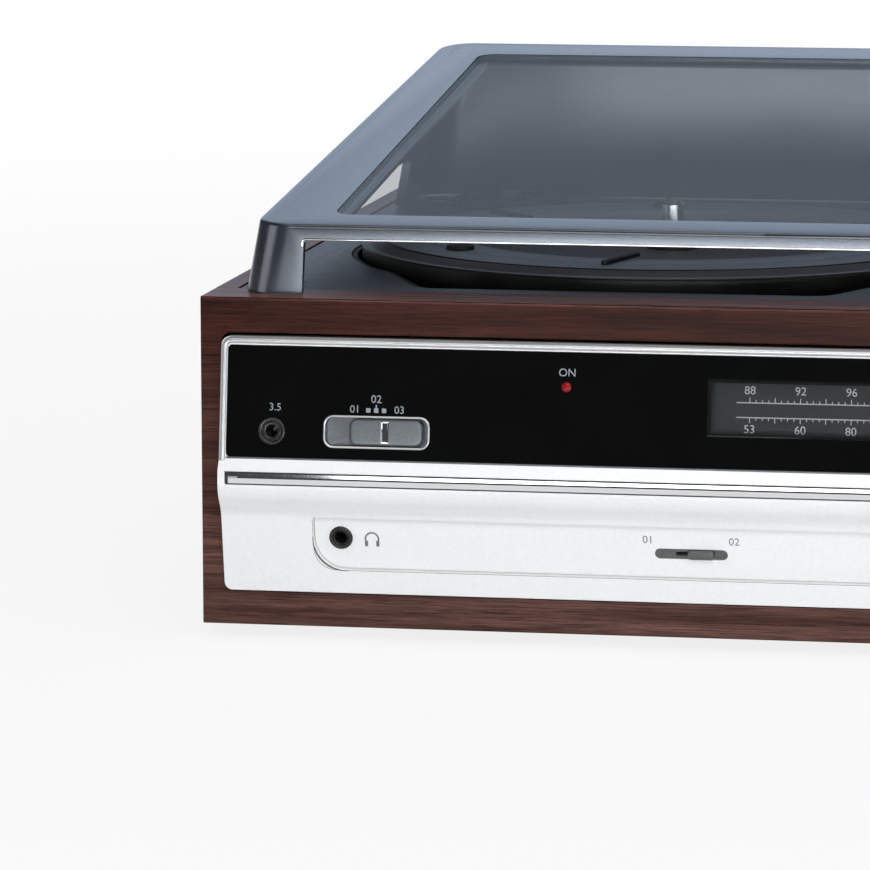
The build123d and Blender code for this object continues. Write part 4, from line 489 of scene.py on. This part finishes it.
# %% Give every solid its finish
finish_of_slot = {"wood": "wood_along_x", "scale": "scale_black"}
finish_of_node = {node: finish_of_slot.get(slot, slot) for node, slot in slot_of_node.items()}
finish_of_node |= {"side_boards": "wood_along_y", "band_switch": "band_grey"}
for node, finish in finish_of_node.items():
    nodes[node].data.materials.clear()
    nodes[node].data.materials.append(finishes[finish])
print("dressed", len(finish_of_node), "solids")

# %% [markdown]
# ## Softer edges
# No real edge is perfectly sharp, and the thin highlight along a rounded one tells the eye how
# large an object is. A solid's own mesh is left alone, because it is part of the fixed frame. A
# copy of it is merged where its triangles meet, its flat regions are dissolved back into whole
# faces, and a bevel modifier rounds every edge that is sharper than the limit.

# %% Softened copies
SHARP = 32  # degrees between two faces from which the edge between them is a sharp one


def add_piece(name, mesh, finish, body="base", replaced=()):
    """An object for a mesh, with a finish, riding a body and standing for what it replaces."""
    mesh.materials.clear()
    mesh.materials.append(finishes[finish])
    piece = bpy.data.objects.new(name, mesh)
    bpy.context.scene.collection.objects.link(piece)
    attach(piece, body)
    if replaced:
        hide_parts(*replaced)
    return piece


def softened(node, width):
    """A copy of a solid, made whole, with its edges rounded to a width in millimetres."""
    work = bmesh.new()
    work.from_mesh(nodes[node].data)
    bmesh.ops.remove_doubles(work, verts=work.verts, dist=2e-6)
    flat = math.radians(0.4)
    bmesh.ops.dissolve_limit(work, angle_limit=flat, verts=work.verts, edges=work.edges)
    mesh = bpy.data.meshes.new(node + "_soft")
    work.to_mesh(mesh)
    work.free()
    mesh.shade_smooth()
    mesh.set_sharp_from_angle(angle=math.radians(SHARP))
    piece = add_piece(node + "_soft", mesh, finish_of_node[node], body_of_node[node], [node])
    bevel = piece.modifiers.new("soft_edges", "BEVEL")
    bevel.width = width * MM
    bevel.segments = 2
    bevel.limit_method = "ANGLE"
    bevel.angle_limit = math.radians(SHARP)
    bevel.harden_normals = True


edge_widths = {  # in millimetres
    "front_frame": 0.5, "side_boards": 0.5, "front_panel": 0.35, "control_insert": 0.25,
    "dial_window": 0.12, "deck_plate": 0.4, "well_pan": 0.3, "lid_frame": 0.6, "lid_pane": 0.2,
    "function_switch": 0.14, "band_slider": 0.2, "band_switch": 0.15, "arm_base": 0.3,
    "arm_rest": 0.3, "arm_yoke": 0.3, "headshell": 0.3, "cartridge": 0.25, "cue_lever": 0.3,
    "platter_pads": 0.25, "hub_cap": 0.2, "counterweight": 0.3, "adaptor_disc": 0.3,
    "hinge_brackets": 0.25, "rubber_feet": 0.4, "power_rocker": 0.3, "power_switch": 0.3,
    "mains_inlet": 0.3, "rear_panel": 0.25,
}
for node, width in edge_widths.items():
    softened(node, width)
print("softened", len(edge_widths), "solids")

# %% [markdown]
# ## Surfaces from formulas
# The rounder pieces are evaluated, not modelled by hand. Each is a function of two parameters on
# a regular grid of points, worked out with numpy for all of them at once, and the quads between
# neighbouring points follow from index arithmetic. Three kinds are enough: a profile turned
# round an axis, a section carried along a path, and a rounded outline that steps inwards as it
# rises. Each function returns points and faces, so that several can be joined into one piece.

# %% Grids and outlines


def grid_quads(rows, columns, closed):
    """Quads between the rows of a grid of points; closed joins the last column to the first."""
    spans = columns - (not closed)
    row, column = np.meshgrid(np.arange(rows - 1), np.arange(spans), indexing="ij")
    corner = row * columns + column
    beside = row * columns + (column + 1) % columns
    quads = np.stack([corner, beside, beside + columns, corner + columns], axis=-1)
    return quads.reshape(-1, 4).tolist()


def end_caps(rows, columns):
    """One face over the first row of a grid and one over the last."""
    last = (rows - 1) * columns
    return [list(range(columns))[::-1], list(range(last, last + columns))]


def rounded_line(points, radius, steps=5):
    """A polyline whose corners become Bezier arcs that reach a radius back and ahead."""
    points = np.array(points, float)
    before, corner, after = points[:-2], points[1:-1], points[2:]
    back_length = np.linalg.norm(before - corner, axis=1, keepdims=True)
    ahead_length = np.linalg.norm(after - corner, axis=1, keepdims=True)
    reach = np.minimum(radius, 0.48 * np.minimum(back_length, ahead_length))
    start = corner + (before - corner) / back_length * reach
    end = corner + (after - corner) / ahead_length * reach
    t = np.linspace(0, 1, steps + 1)[None, :, None]
    sides = (1 - t) ** 2 * start[:, None] + 2 * t * (1 - t) * corner[:, None]
    arcs = sides + t**2 * end[:, None]
    return np.vstack([points[:1], arcs.reshape(-1, points.shape[1]), points[-1:]])


def arc_points(centre, radius, start, end, steps):
    """centre + radius (cos a, sin a), for angles in degrees."""
    angle = np.radians(np.linspace(start, end, steps + 1))
    x, y = centre[0] + radius * np.cos(angle), centre[1] + radius * np.sin(angle)
    return np.column_stack([x, y])


def turned(face, centre, profile, steps=72, ribs=(0, 0.0, 0.0, 0.0)):
    """centre + r (cos a, sin a) on the face, h out of it, for a profile of (r, h) in mm.

    ribs is (count, depth, low, high): between two heights the radius is pulled in by
    depth * (1 - cos(count * a)) / 2, which flutes the side of a knob.
    """
    angle = np.arange(steps) * 2 * np.pi / steps
    radius, height = np.array(profile, float).T[:, :, None]
    count, depth, low, high = ribs
    fluted = (height > low) & (height < high) & (radius > 0.8 * radius.max())
    radius = radius - fluted * depth * (1 - np.cos(count * angle)) / 2
    across = centre[0] + radius * np.cos(angle)
    upward = centre[1] + radius * np.sin(angle)
    points = on_face(face, across * MM, upward * MM, height * MM)
    return points.reshape(-1, 3), grid_quads(len(profile), steps, True)


def plate(face, centre, half, corner, rim, steps=6, capped=True):
    """A rounded rectangle that steps inwards and outwards by a rim of (inset, height) in mm.

    Each quarter of the outline is corner centre + r (cos a, sin a), with r = corner - inset.
    Without caps and with a rim that comes back to its start, it's a ring.
    """
    quarter = np.linspace(0, np.pi / 2, steps + 1)
    angle = np.concatenate([quarter + turn * np.pi / 2 for turn in range(4)])
    side_x = np.repeat([1, -1, -1, 1], steps + 1)
    side_y = np.repeat([1, 1, -1, -1], steps + 1)
    inset, height = np.array(rim, float).T[:, :, None]
    radius = np.maximum(corner - inset, 0.02)
    across = centre[0] + side_x * (half[0] - inset - radius) + radius * np.cos(angle)
    upward = centre[1] + side_y * (half[1] - inset - radius) + radius * np.sin(angle)
    points = on_face(face, across * MM, upward * MM, height * MM)
    columns = 4 * (steps + 1)
    caps = end_caps(len(rim), columns) * capped
    return points.reshape(-1, 3), grid_quads(len(rim), columns, True) + caps


def swept(face, path, section):
    """path + side * its left-hand normal, out of the face by height, for (side, height) in mm."""
    path = np.array(path, float)
    along = np.gradient(path, axis=0)
    along /= np.linalg.norm(along, axis=1, keepdims=True)
    normal = np.stack([-along[:, 1], along[:, 0]], axis=1)
    side, height = np.array(section, float).T
    across = path[:, :1] + normal[:, :1] * side
    upward = path[:, 1:] + normal[:, 1:] * side
    points = on_face(face, across * MM, upward * MM, height * MM)
    rows, columns = len(path), len(section)
    return points.reshape(-1, 3), grid_quads(rows, columns, True) + end_caps(rows, columns)


def between_lines(face, first, second, low, high):
    """A thin solid between two lines of points on a face, from one height to another in mm."""
    outline = np.vstack([first, second[::-1]])
    levels = np.array([low, high])[:, None]
    points = on_face(face, outline[:, 0] * MM, outline[:, 1] * MM, levels * MM)
    columns = len(outline)
    return points.reshape(-1, 3), grid_quads(2, columns, True) + end_caps(2, columns)


def mesh_of(name, surfaces, sharp=SHARP):
    """One mesh from surfaces: points merged, normals outwards and only sharp edges split."""
    starts = np.cumsum([0] + [len(points) for points, _ in surfaces])
    points = np.vstack([points for points, _ in surfaces])
    faces = []
    for start, (_, group) in zip(starts.tolist(), surfaces):
        faces += [[start + v for v in face] for face in group]
    mesh = bpy.data.meshes.new(name)
    mesh.from_pydata(points.tolist(), [], faces)
    work = bmesh.new()
    work.from_mesh(mesh)
    bmesh.ops.remove_doubles(work, verts=work.verts, dist=1e-7)
    bmesh.ops.recalc_face_normals(work, faces=work.faces)
    work.to_mesh(mesh)
    work.free()
    mesh.shade_smooth()
    mesh.set_sharp_from_angle(angle=math.radians(sharp))
    return mesh


def add_surfaces(name, surfaces, finish, body="base", replaced=(), sharp=SHARP):
    """A piece made of surfaces."""
    return add_piece(name, mesh_of(name, surfaces, sharp), finish, body, replaced)


print("surface helpers ready")

# %% [markdown]
# ## Moulding round the window
# A half-round plated moulding frames the black window on three sides. Its section is half an
# ellipse, carried along a path that turns two rounded corners. Because its normals fan out from
# up to in, it shows a bright line towards the lamp and a grey one towards the window, which is
# what tells plated metal from paint. A flatter and narrower piece of the same section is the sill.

# %% Window moulding
moulding_end, moulding_top, moulding_foot = 162.2, -0.95, -37.4
moulding_corners = [(-moulding_end, moulding_foot), (-moulding_end, moulding_top)]
moulding_corners += [(moulding_end, moulding_top), (moulding_end, moulding_foot)]
half_turn = np.linspace(0, np.pi, 13)
half_round = np.column_stack([0.95 * np.cos(half_turn), 0.62 * np.sin(half_turn) - 0.02])
moulding = swept(window_face, rounded_line(moulding_corners, 2.6, 8), half_round)
window_moulding = add_surfaces("window_moulding", [moulding], "moulding")
sill = swept(window_face, [(-161.0, -36.35), (161.0, -36.35)], half_round * [0.3, 0.35])
add_surfaces("window_sill", [sill], "slider_silver")
print("moulding points", len(window_moulding.data.vertices))

# %% [markdown]
# ## Chrome strip
# The strip in the nose has a flat facet above and one below a ridge, and both ends are mitred, so
# the facets narrow to a point. As a surface it has four stations along the strip and six across
# it. Only the ridge is lower at the outer stations, which makes the mitres without any cutting. A
# slightly larger black seat under the strip leaves a thin dark outline, which is painted shade in
# the gap round the strip.

# %% Chrome strip
strip_low, strip_high = (np.array(corner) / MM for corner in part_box("chrome_strip"))
strip_middle = (strip_low[2] + strip_high[2]) / 2
strip_face = leaning_face(strip_high[1] * MM, strip_middle * MM, 0.0)
half_height, edge_rise, mitre = 1.55, 1.75, 3.0  # edge_rise is over the channel, in mm
station = [strip_low[0], strip_low[0] + mitre, strip_high[0] - mitre, strip_high[0]]
place_up = [-half_height, -half_height, 0.1, 0.6, half_height, half_height]
edge = np.array([0, edge_rise, edge_rise, edge_rise, edge_rise, 0])
ridge = np.array([0, 0, 0.46, 0.38, 0, 0]) * np.array([0.0, 1.0, 1.0, 0.0])[:, None]
station, place_up = np.array(station)[:, None] * MM, np.array(place_up) * MM
strip_points = on_face(strip_face, station, place_up, (edge + ridge) * MM).reshape(-1, 3)
strip = (strip_points, grid_quads(4, 6, True) + end_caps(4, 6))
add_surfaces("strip_faceted", [strip], "chrome", replaced=["chrome_strip"], sharp=5)
# The black seat is painted shade: a dark outline where the gap round the strip lies in shadow.
seat_half = ((strip_high[0] - strip_low[0]) / 2 + 0.75, 1.95)
shadow_seat = plate(strip_face, (0, 0), seat_half, 0.3, [(0, -0.02), (0, 1.52)], 3)
add_surfaces("strip_shadow_seat", [shadow_seat], "scale_black")
print("strip from", strip_low.round(2), "to", strip_high.round(2))

# %% [markdown]
# ## Rounded corners of the openings
# The panel has rounded corners, and so has the hole in the wood round it. Each corner of the hole
# gets a small wooden fillet, the shape between a square corner and an arc that touches both of
# its sides. The insert's opening needs its shadow instead, a dark crescent at the outer side of
# each lower corner and a fine seam. The crescent lies between two arcs of nearly one radius.

# %% Corners, seams and painted shadows
wall_face = leaning_face(FRONT, 0.0, 0.0)


def corner_fillet(corner, toward, radius):
    """The piece between a square corner and an arc, toward the middle of the hole."""
    centre = np.array(corner) + radius * np.array(toward)
    reach = arc_points(centre, radius, 0, 90, 16) - centre
    arc_line = centre - np.abs(reach) * toward
    return between_lines(wall_face, arc_line, np.array([corner]), -3.0, -0.02)


low_corner, high_corner = (np.array(corner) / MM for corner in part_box("front_panel"))
panel_gap, top_rail_foot = 0.3, 93.2  # the rail's lower edge, over the floor
hole_half, hole_low = high_corner[0] + panel_gap, low_corner[2] - panel_gap
fillets = [
    corner_fillet((-side * hole_half, height), (side, turn), 2.7)
    for side in (1, -1)
    for height, turn in ((hole_low, 1), (top_rail_foot, -1))
]
add_surfaces("opening_fillets", fillets, "wood_along_x")

insert_half, insert_low, insert_high, insert_radius = 135.0, 7.25, 24.2, 10.0
seam_half = 0.07
# The crescents are a painted shadow, dark on the outer side of each lower corner of the insert.
shadow_crescent = (0.16, 0.42)  # its width at the ends, and how much wider its middle is
seams_and_shadows = []
for side in (1, -1):
    turn_centre = (side * (insert_half - insert_radius), insert_low + insert_radius)
    start = 270 if side > 0 else 180
    inner = arc_points(turn_centre, insert_radius, start - 4, start + 94, 16)
    swell = shadow_crescent[0] + shadow_crescent[1] * np.sin(np.linspace(0, np.pi, len(inner)))[:, None]
    away = (inner - turn_centre) / insert_radius
    seams_and_shadows.append(between_lines(lower_face, inner, inner + away * swell, -0.05, 0.02))
seam_corners = [(-insert_half, insert_high), (-insert_half, insert_low)]
seam_corners += [(insert_half, insert_low), (insert_half, insert_high)]
seam_section = [(-seam_half, -0.05), (-seam_half, 0.015), (seam_half, 0.015), (seam_half, -0.05)]
seams_and_shadows.append(swept(lower_face, rounded_line(seam_corners, insert_radius, 16), seam_section))
add_surfaces("insert_seam_and_shadow", seams_and_shadows, "band_grey")
print("fillets", len(fillets), "seams_and_shadows", len(seams_and_shadows))

# %% [markdown]
# ## Jacks and power lamp
# A jack is a body of revolution: a collar, a groove round it, an inner bush and the bore. The
# profile is written as a few corners and then softened, and its ends meet the axis, so the
# surface closes at its poles. The lamp is a low dome of coloured plastic, made the same way.

# %% Jacks and lamp


def jack(face, centre, ring, surface, panel):
    """Collar, groove, bush and bore of a socket, with the moulded body behind the panel."""
    bore, barrel = 1.8, 4.4  # radii
    rise = [(ring - 0.6, -panel - 9), (ring - 0.6, 0), (ring, 0), (ring - 0.1, 0.42)]
    collar = [(ring - 0.45, 0.58), (ring - 1.0, 0.5), (ring - 1.25, 0.02), (ring - 1.5, 0.02)]
    bush = [(ring - 1.62, 0.3), (bore + 0.15, 0.22), (bore, 0.02), (bore, -10), (0, -10)]
    profile = [(r, surface + h) for r, h in [(0, -panel - 9), *rise, *collar, *bush]]
    foot = plate(face, centre, (4.5, 4.5), 1.0, [(0, surface - panel - 11), (0, surface - 10.2)])
    low, high = surface - 10.3, surface - panel
    ring_round = [(3.0, low), (barrel, low), (barrel, high), (3.0, high), (3.0, low)]
    collar_profile = rounded_line(profile, 0.14, 3)
    return [turned(face, centre, collar_profile), turned(face, centre, ring_round), foot]


aux_jack = jack(window_face, (place_left(23.0), -28.1), 4.2, -0.1, 3.0)
phones_jack = jack(lower_face, (place_left(43.3), 17.2), 3.65, -1.6, 2.5)
jacks = add_surfaces("jack_sockets", aux_jack + phones_jack, "jack_black", replaced=["jacks"])

quarter_turn = np.linspace(0, np.pi / 2, 9)
dome = np.column_stack([1.35 * np.cos(quarter_turn), 0.02 + 0.36 * np.sin(quarter_turn)])
lamp_profile = np.vstack([[(0, -6.4), (2.0, -6.4), (2.0, -3.0), (1.45, -3.0), (1.45, 0.0)], dome])
lamp = turned(window_face, (place_left(112.6), -12.85), lamp_profile, 48)
add_surfaces("lamp_dome", [lamp], "led_red", replaced=["power_led"])
print("jacks", len(jacks.data.vertices), "points")

# %% [markdown]
# ## Function slider
# The slider is a rounded block with a soft bevel and a hollow rib in its middle for a fingertip.
# Its parts and the tray's edge are the same kind of surface, a rounded rectangle that steps
# inwards as it rises. For the rib it steps outwards again, which sinks its middle.

# %% Function slider
slider_x, slider_y = place_left(58.0), -27.8
block_rim = rounded_line([(0, -2.9), (0, -0.2), (0.6, 0.38), (1.6, 0.4)], 0.2, 4)
rib_rim = [(0, 0.3), (0, 0.72), (0.08, 0.9), (0.22, 0.98), (0.42, 0.98), (0.52, 0.9), (0.6, 0.55)]
tray_rim = [(0, -0.1), (0.05, 0.12), (0.28, 0.2), (0.55, 0.12), (0.62, -0.1), (0, -0.1)]
slider_parts = [
    plate(window_face, (slider_x, slider_y), (11.2, 4.1), 2.4, block_rim, 8),
    plate(window_face, (slider_x, slider_y), (1.5, 1.0), 0.1, [(0, -5.9), (0, -2.8)]),
]
slider_body = body_of_node["function_slider"]
add_surfaces("slider_block", slider_parts, "slider_silver", slider_body, ["function_slider"])
rib = plate(window_face, (slider_x - 0.2, slider_y), (1.3, 3.4), 0.35, rib_rim)
add_surfaces("slider_rib", [rib], "chrome", slider_body)
tray_half = (16.25, 4.95)
tray = plate(window_face, (place_left(55.1), slider_y), tray_half, 3.0, tray_rim, 8, False)
add_surfaces("tray_edge", [tray], "moulding")
print("slider on", slider_body)

# %% [markdown]
# ## Knobs
# Both knobs are turned metal with a fluted side and a shallow dish in the face. The flutes come
# from one more term in the radius, a cosine of the angle, which is on only between two heights.
# A short dark line in the dish shows where the knob points, and turns with it.

# %% Knobs
VOLUME, TUNING = (109.0, -19.0), (142.0, -19.0)  # the knobs' places on the window's face


def knob(name, node, centre, shaft_end):
    """A fluted knob on its shaft, and the line that shows where it points."""
    outer, face_height, dish = 11.0, 14.0, 13.4  # the radius, and two heights
    profile = [(0, -shaft_end), (3, -shaft_end), (3, 1.0), (10.6, 1.0), (outer, 1.4), (outer, 2.0)]
    profile += [(outer, height) for height in np.linspace(2.2, 12.2, 9)]
    profile += [(outer, 12.6), (10.8, 13.3), (10.3, 13.8), (9.7, face_height), (8.3, face_height)]
    profile += [(8.0, 13.85), (7.8, dish + 0.05), (0, dish)]
    body = body_of_node[node]
    flutes = (48, 0.45, 2.1, 12.3)  # how many, how deep, and from which height to which
    grip = turned(window_face, centre, profile, 240, flutes)
    add_surfaces(name, [grip], "knob_silver", body, [node], 40)
    x, y = centre
    section = [(-0.45, dish - 0.05), (-0.45, dish + 0.06), (0.45, dish + 0.06), (0.45, dish - 0.05)]
    line = swept(window_face, [(x, y + 3.4), (x, y + 7.2)], section)
    add_surfaces(name + "_line", [line], "scale_black", body)


knob("knob_volume", "volume_knob", VOLUME, 18.8)
knob("knob_tuning", "tuning_knob", TUNING, 24.2)
print("knobs on", body_of_node["volume_knob"], body_of_node["tuning_knob"])

# %% [markdown]
# ## Platter
# The platter is a shallow pressed dish. Its profile runs from the hub under the belt rim to the
# skirt, over the lip and the groove, across the bed with its thin ring, and down to the label
# area. Turned round the spindle in many steps it stays round even close to the lens.

# %% Platter
under_platter = [(3.95, 97.0), (8, 97.0), (8, 102.8), (58, 102.8), (58, 94.0), (60, 94.0)]
under_platter += [(60, 102.8), (68.5, 102.8), (69.5, 107.0), (91.5, 107.0), (96.5, 105.1)]
skirt_and_lip = [(96.5, 97.1), (99, 97.1), (99, 106.7), (98.5, 107.3), (97.8, 107.25)]
skirt_and_lip += [(97.3, 107.6), (94.0, 109.1), (93.3, 109.1)]
groove_and_bed = [(93.1, 108.5), (92.5, 108.5), (92.2, 109.35), (80.5, 109.42)]
groove_and_bed += [(80.3, 109.15), (79.9, 109.15), (79.7, 109.45), (67.4, 109.45)]
label_area = [(66.2, 105.4), (65.4, 105.3), (3.95, 105.3), (3.95, 97.0)]
platter_outline = under_platter + skirt_and_lip + groove_and_bed + label_area
platter_profile = rounded_line(platter_outline, 0.35, 3)
platter_surface = turned(level_face, tuple(PLATTER / MM), platter_profile, 256)
platter_body = body_of_node["platter"]
add_surfaces("platter_turned", [platter_surface], "platter_grey", platter_body, ["platter"])
print("platter on", platter_body, "with", len(platter_surface[0]), "points")

# %% [markdown]
# ## Edge line of the lid's mouth
# A thin polished bead runs along the top of the mouth in the lid's front and a little way down
# both posts. It is a painted highlight: the lid there is black plastic, and the bright line is the
# highlight on its rounded edge. It is a small half-round section on the lid's front face, so it
# opens with the lid.

# %% Mouth bead, a painted highlight
lid_front_face = leaning_face(FRONT + 9.0 * MM, 104.3 * MM, math.radians(1.0))
mouth_half, mouth_top, bead_end = 140.0, 16.1, 14.4
mouth_corners = [(-mouth_half - 0.1, bead_end), (-mouth_half, mouth_top)]
mouth_corners += [(mouth_half, mouth_top), (mouth_half + 0.1, bead_end)]
bead_turn = np.linspace(0, np.pi, 9)
bead_section = [0.36 * np.cos(bead_turn) + 0.36, 0.30 * np.sin(bead_turn) - 0.05]
# The bead is a painted highlight along the rounded black edge of the lid's mouth.
highlight_bead = swept(lid_front_face, rounded_line(mouth_corners, 1.6, 8), np.column_stack(bead_section))
add_surfaces("mouth_highlight_bead", [highlight_bead], "chrome", body_of_node["lid_frame"])
print("bead on", body_of_node["lid_frame"])

# %% [markdown]
# ## Printed marks
# Print is modelled as very thin raised shapes, so it needs no picture and stays sharp at any
# distance. Every mark is generic: plain figures beside the sockets and switches, three squares
# for the positions of the slider, a headphone sign, and a dial with numbers. The figures come
# from the built-in font as a mesh, and are moved to their face like any other points.

# %% Print helpers
CAP_HEIGHT = 0.69  # of the font, as a share of its size
INK_LOW, INK_HIGH = 0.02, 0.03  # how far print reaches into its surface and stands over it


def figures(text, face, centre, height, surface):
    """Plain figures from the built-in font, flat on a face, with a height in mm."""
    letters = bpy.data.curves.new("figures", "FONT")
    letters.body = text
    letters.size = height / CAP_HEIGHT
    letters.align_x = "CENTER"
    letters.align_y = "CENTER"
    letters.extrude = 0.02
    holder = bpy.data.objects.new("figures", letters)
    flat = bpy.data.meshes.new_from_object(holder)
    local = np.empty(3 * len(flat.vertices))
    flat.vertices.foreach_get("co", local)
    x, y, z = local.reshape(-1, 3).T
    points = on_face(face, (centre[0] + x) * MM, (centre[1] + y) * MM, (surface + z) * MM)
    faces = [list(polygon.vertices) for polygon in flat.polygons]
    bpy.data.objects.remove(holder)
    bpy.data.curves.remove(letters)
    bpy.data.meshes.remove(flat)
    return points, faces


def printed(face, path, width, surface):
    """A printed line along a path, with a width in mm."""
    half, low, high = width / 2, surface - INK_LOW, surface + INK_HIGH
    return swept(face, path, [(-half, low), (-half, high), (half, high), (half, low)])


def printed_block(face, centre, half, corner, surface, steps):
    """A printed rectangle with rounded corners."""
    rim = [(0, surface - INK_LOW), (0, surface + INK_HIGH)]
    return plate(face, centre, half, corner, rim, steps)


print("print helpers ready")

# %% Marks on the window
glass = -0.09
window_figures = [("3.5", 23.9, -20.9, 2.2), ("01", 48.4, -21.0, 2.2), ("02", 54.9, -17.9, 2.3)]
window_figures += [("03", 62.0, -21.0, 2.2), ("ON", 112.8, -8.6, 2.3)]
window_marks = [
    figures(text, window_face, (place_left(x), y), height, glass)
    for text, x, y, height in window_figures
]
tick_x = place_left(54.9)
window_marks.append(printed(window_face, [(tick_x, -20.6), (tick_x, -19.5)], 0.4, glass))
for x in (52.5, 54.9, 57.3):
    square = printed_block(window_face, (place_left(x), -21.2), (0.68, 0.68), 0.1, glass, 2)
    window_marks.append(square)
for knob_place in (VOLUME, TUNING):
    scale_line = arc_points(knob_place, 13.2, -135, -135 - 270, 32)
    window_marks.append(printed(window_face, scale_line, 0.25, glass))
add_surfaces("window_marks", window_marks, "print_grey")
print("window marks", len(window_marks))

# %% Marks on the lower insert
paint = -1.59
phones_x, phones_y = place_left(52.8), 17.0
headband = arc_points((phones_x, phones_y), 2.0, 205, -25, 32)
insert_marks = [printed(lower_face, headband, 0.5, paint)]
for offset in (-1.75, 1.75):
    ear = (phones_x + offset, phones_y - 1.45)
    insert_marks.append(printed_block(lower_face, ear, (0.5, 0.95), 0.4, paint, 3))
for text, x in (("01", 137.0), ("02", 163.0)):
    insert_marks.append(figures(text, lower_face, (place_left(x), 19.2), 2.3, paint))
add_surfaces("insert_marks", insert_marks, "print_dark")
print("insert marks", len(insert_marks))

# %% [markdown]
# ## Marks on the deck
# The speed selector has a number and a tick on either side, at the angles to which it turns.

# %% Marks on the deck
deck_top = 103.62
selector = np.array([136.0, -33.3])
deck_marks = [
    figures("33", level_face, selector + [-7.6, 13.2], 2.6, deck_top),
    figures("45", level_face, selector + [7.6, 13.2], 2.6, deck_top),
]
for toward in (np.array([-0.5, 0.866]), np.array([0.5, 0.866])):
    tick = [selector + 10.2 * toward, selector + 11.4 * toward]
    deck_marks.append(printed(level_face, tick, 0.4, deck_top))
add_surfaces("deck_marks", deck_marks, "print_grey")
print("deck marks", len(deck_marks))

# %% [markdown]
# ## Dial
# The dial is a dark plate behind a clear lens. Two lines carry evenly spaced ticks, every fourth
# one longer, and six numbers stand over each. The ticks are one short bar repeated along the
# scale.

# %% Dial marks
dial_centre = place_left(205.0)
dial_surface, dial_half, scale_half = -5.99, 42, 38
upper_line, lower_line = -16.2, -20.6
upper_numbers, lower_numbers = (88, 92, 96, 100, 104, 108), (53, 60, 80, 100, 130, 160)


def dial_bar(start, end, width):
    """A printed bar on the dial, with its places across counted from the dial's middle."""
    path = [(dial_centre + start[0], start[1]), (dial_centre + end[0], end[1])]
    return printed(window_face, path, width, dial_surface)


dial_marks = [dial_bar((-dial_half, y), (dial_half, y), 0.3) for y in (upper_line, lower_line)]
for count, x in enumerate(np.linspace(-scale_half, scale_half, 41)):
    length = 1.6 if count % 4 == 0 else 0.9
    dial_marks.append(dial_bar((x, upper_line), (x, upper_line + length), 0.22))
    dial_marks.append(dial_bar((x, lower_line), (x, lower_line - length), 0.22))
places = np.linspace(-scale_half, scale_half, len(upper_numbers))
for x, upper, lower in zip(dial_centre + places, upper_numbers, lower_numbers):
    dial_marks.append(figures(str(upper), window_face, (x, -12.6), 2.4, dial_surface))
    dial_marks.append(figures(str(lower), window_face, (x, -24.2), 2.4, dial_surface))
add_surfaces("dial_marks", dial_marks, "print_white")
print("dial marks", len(dial_marks))
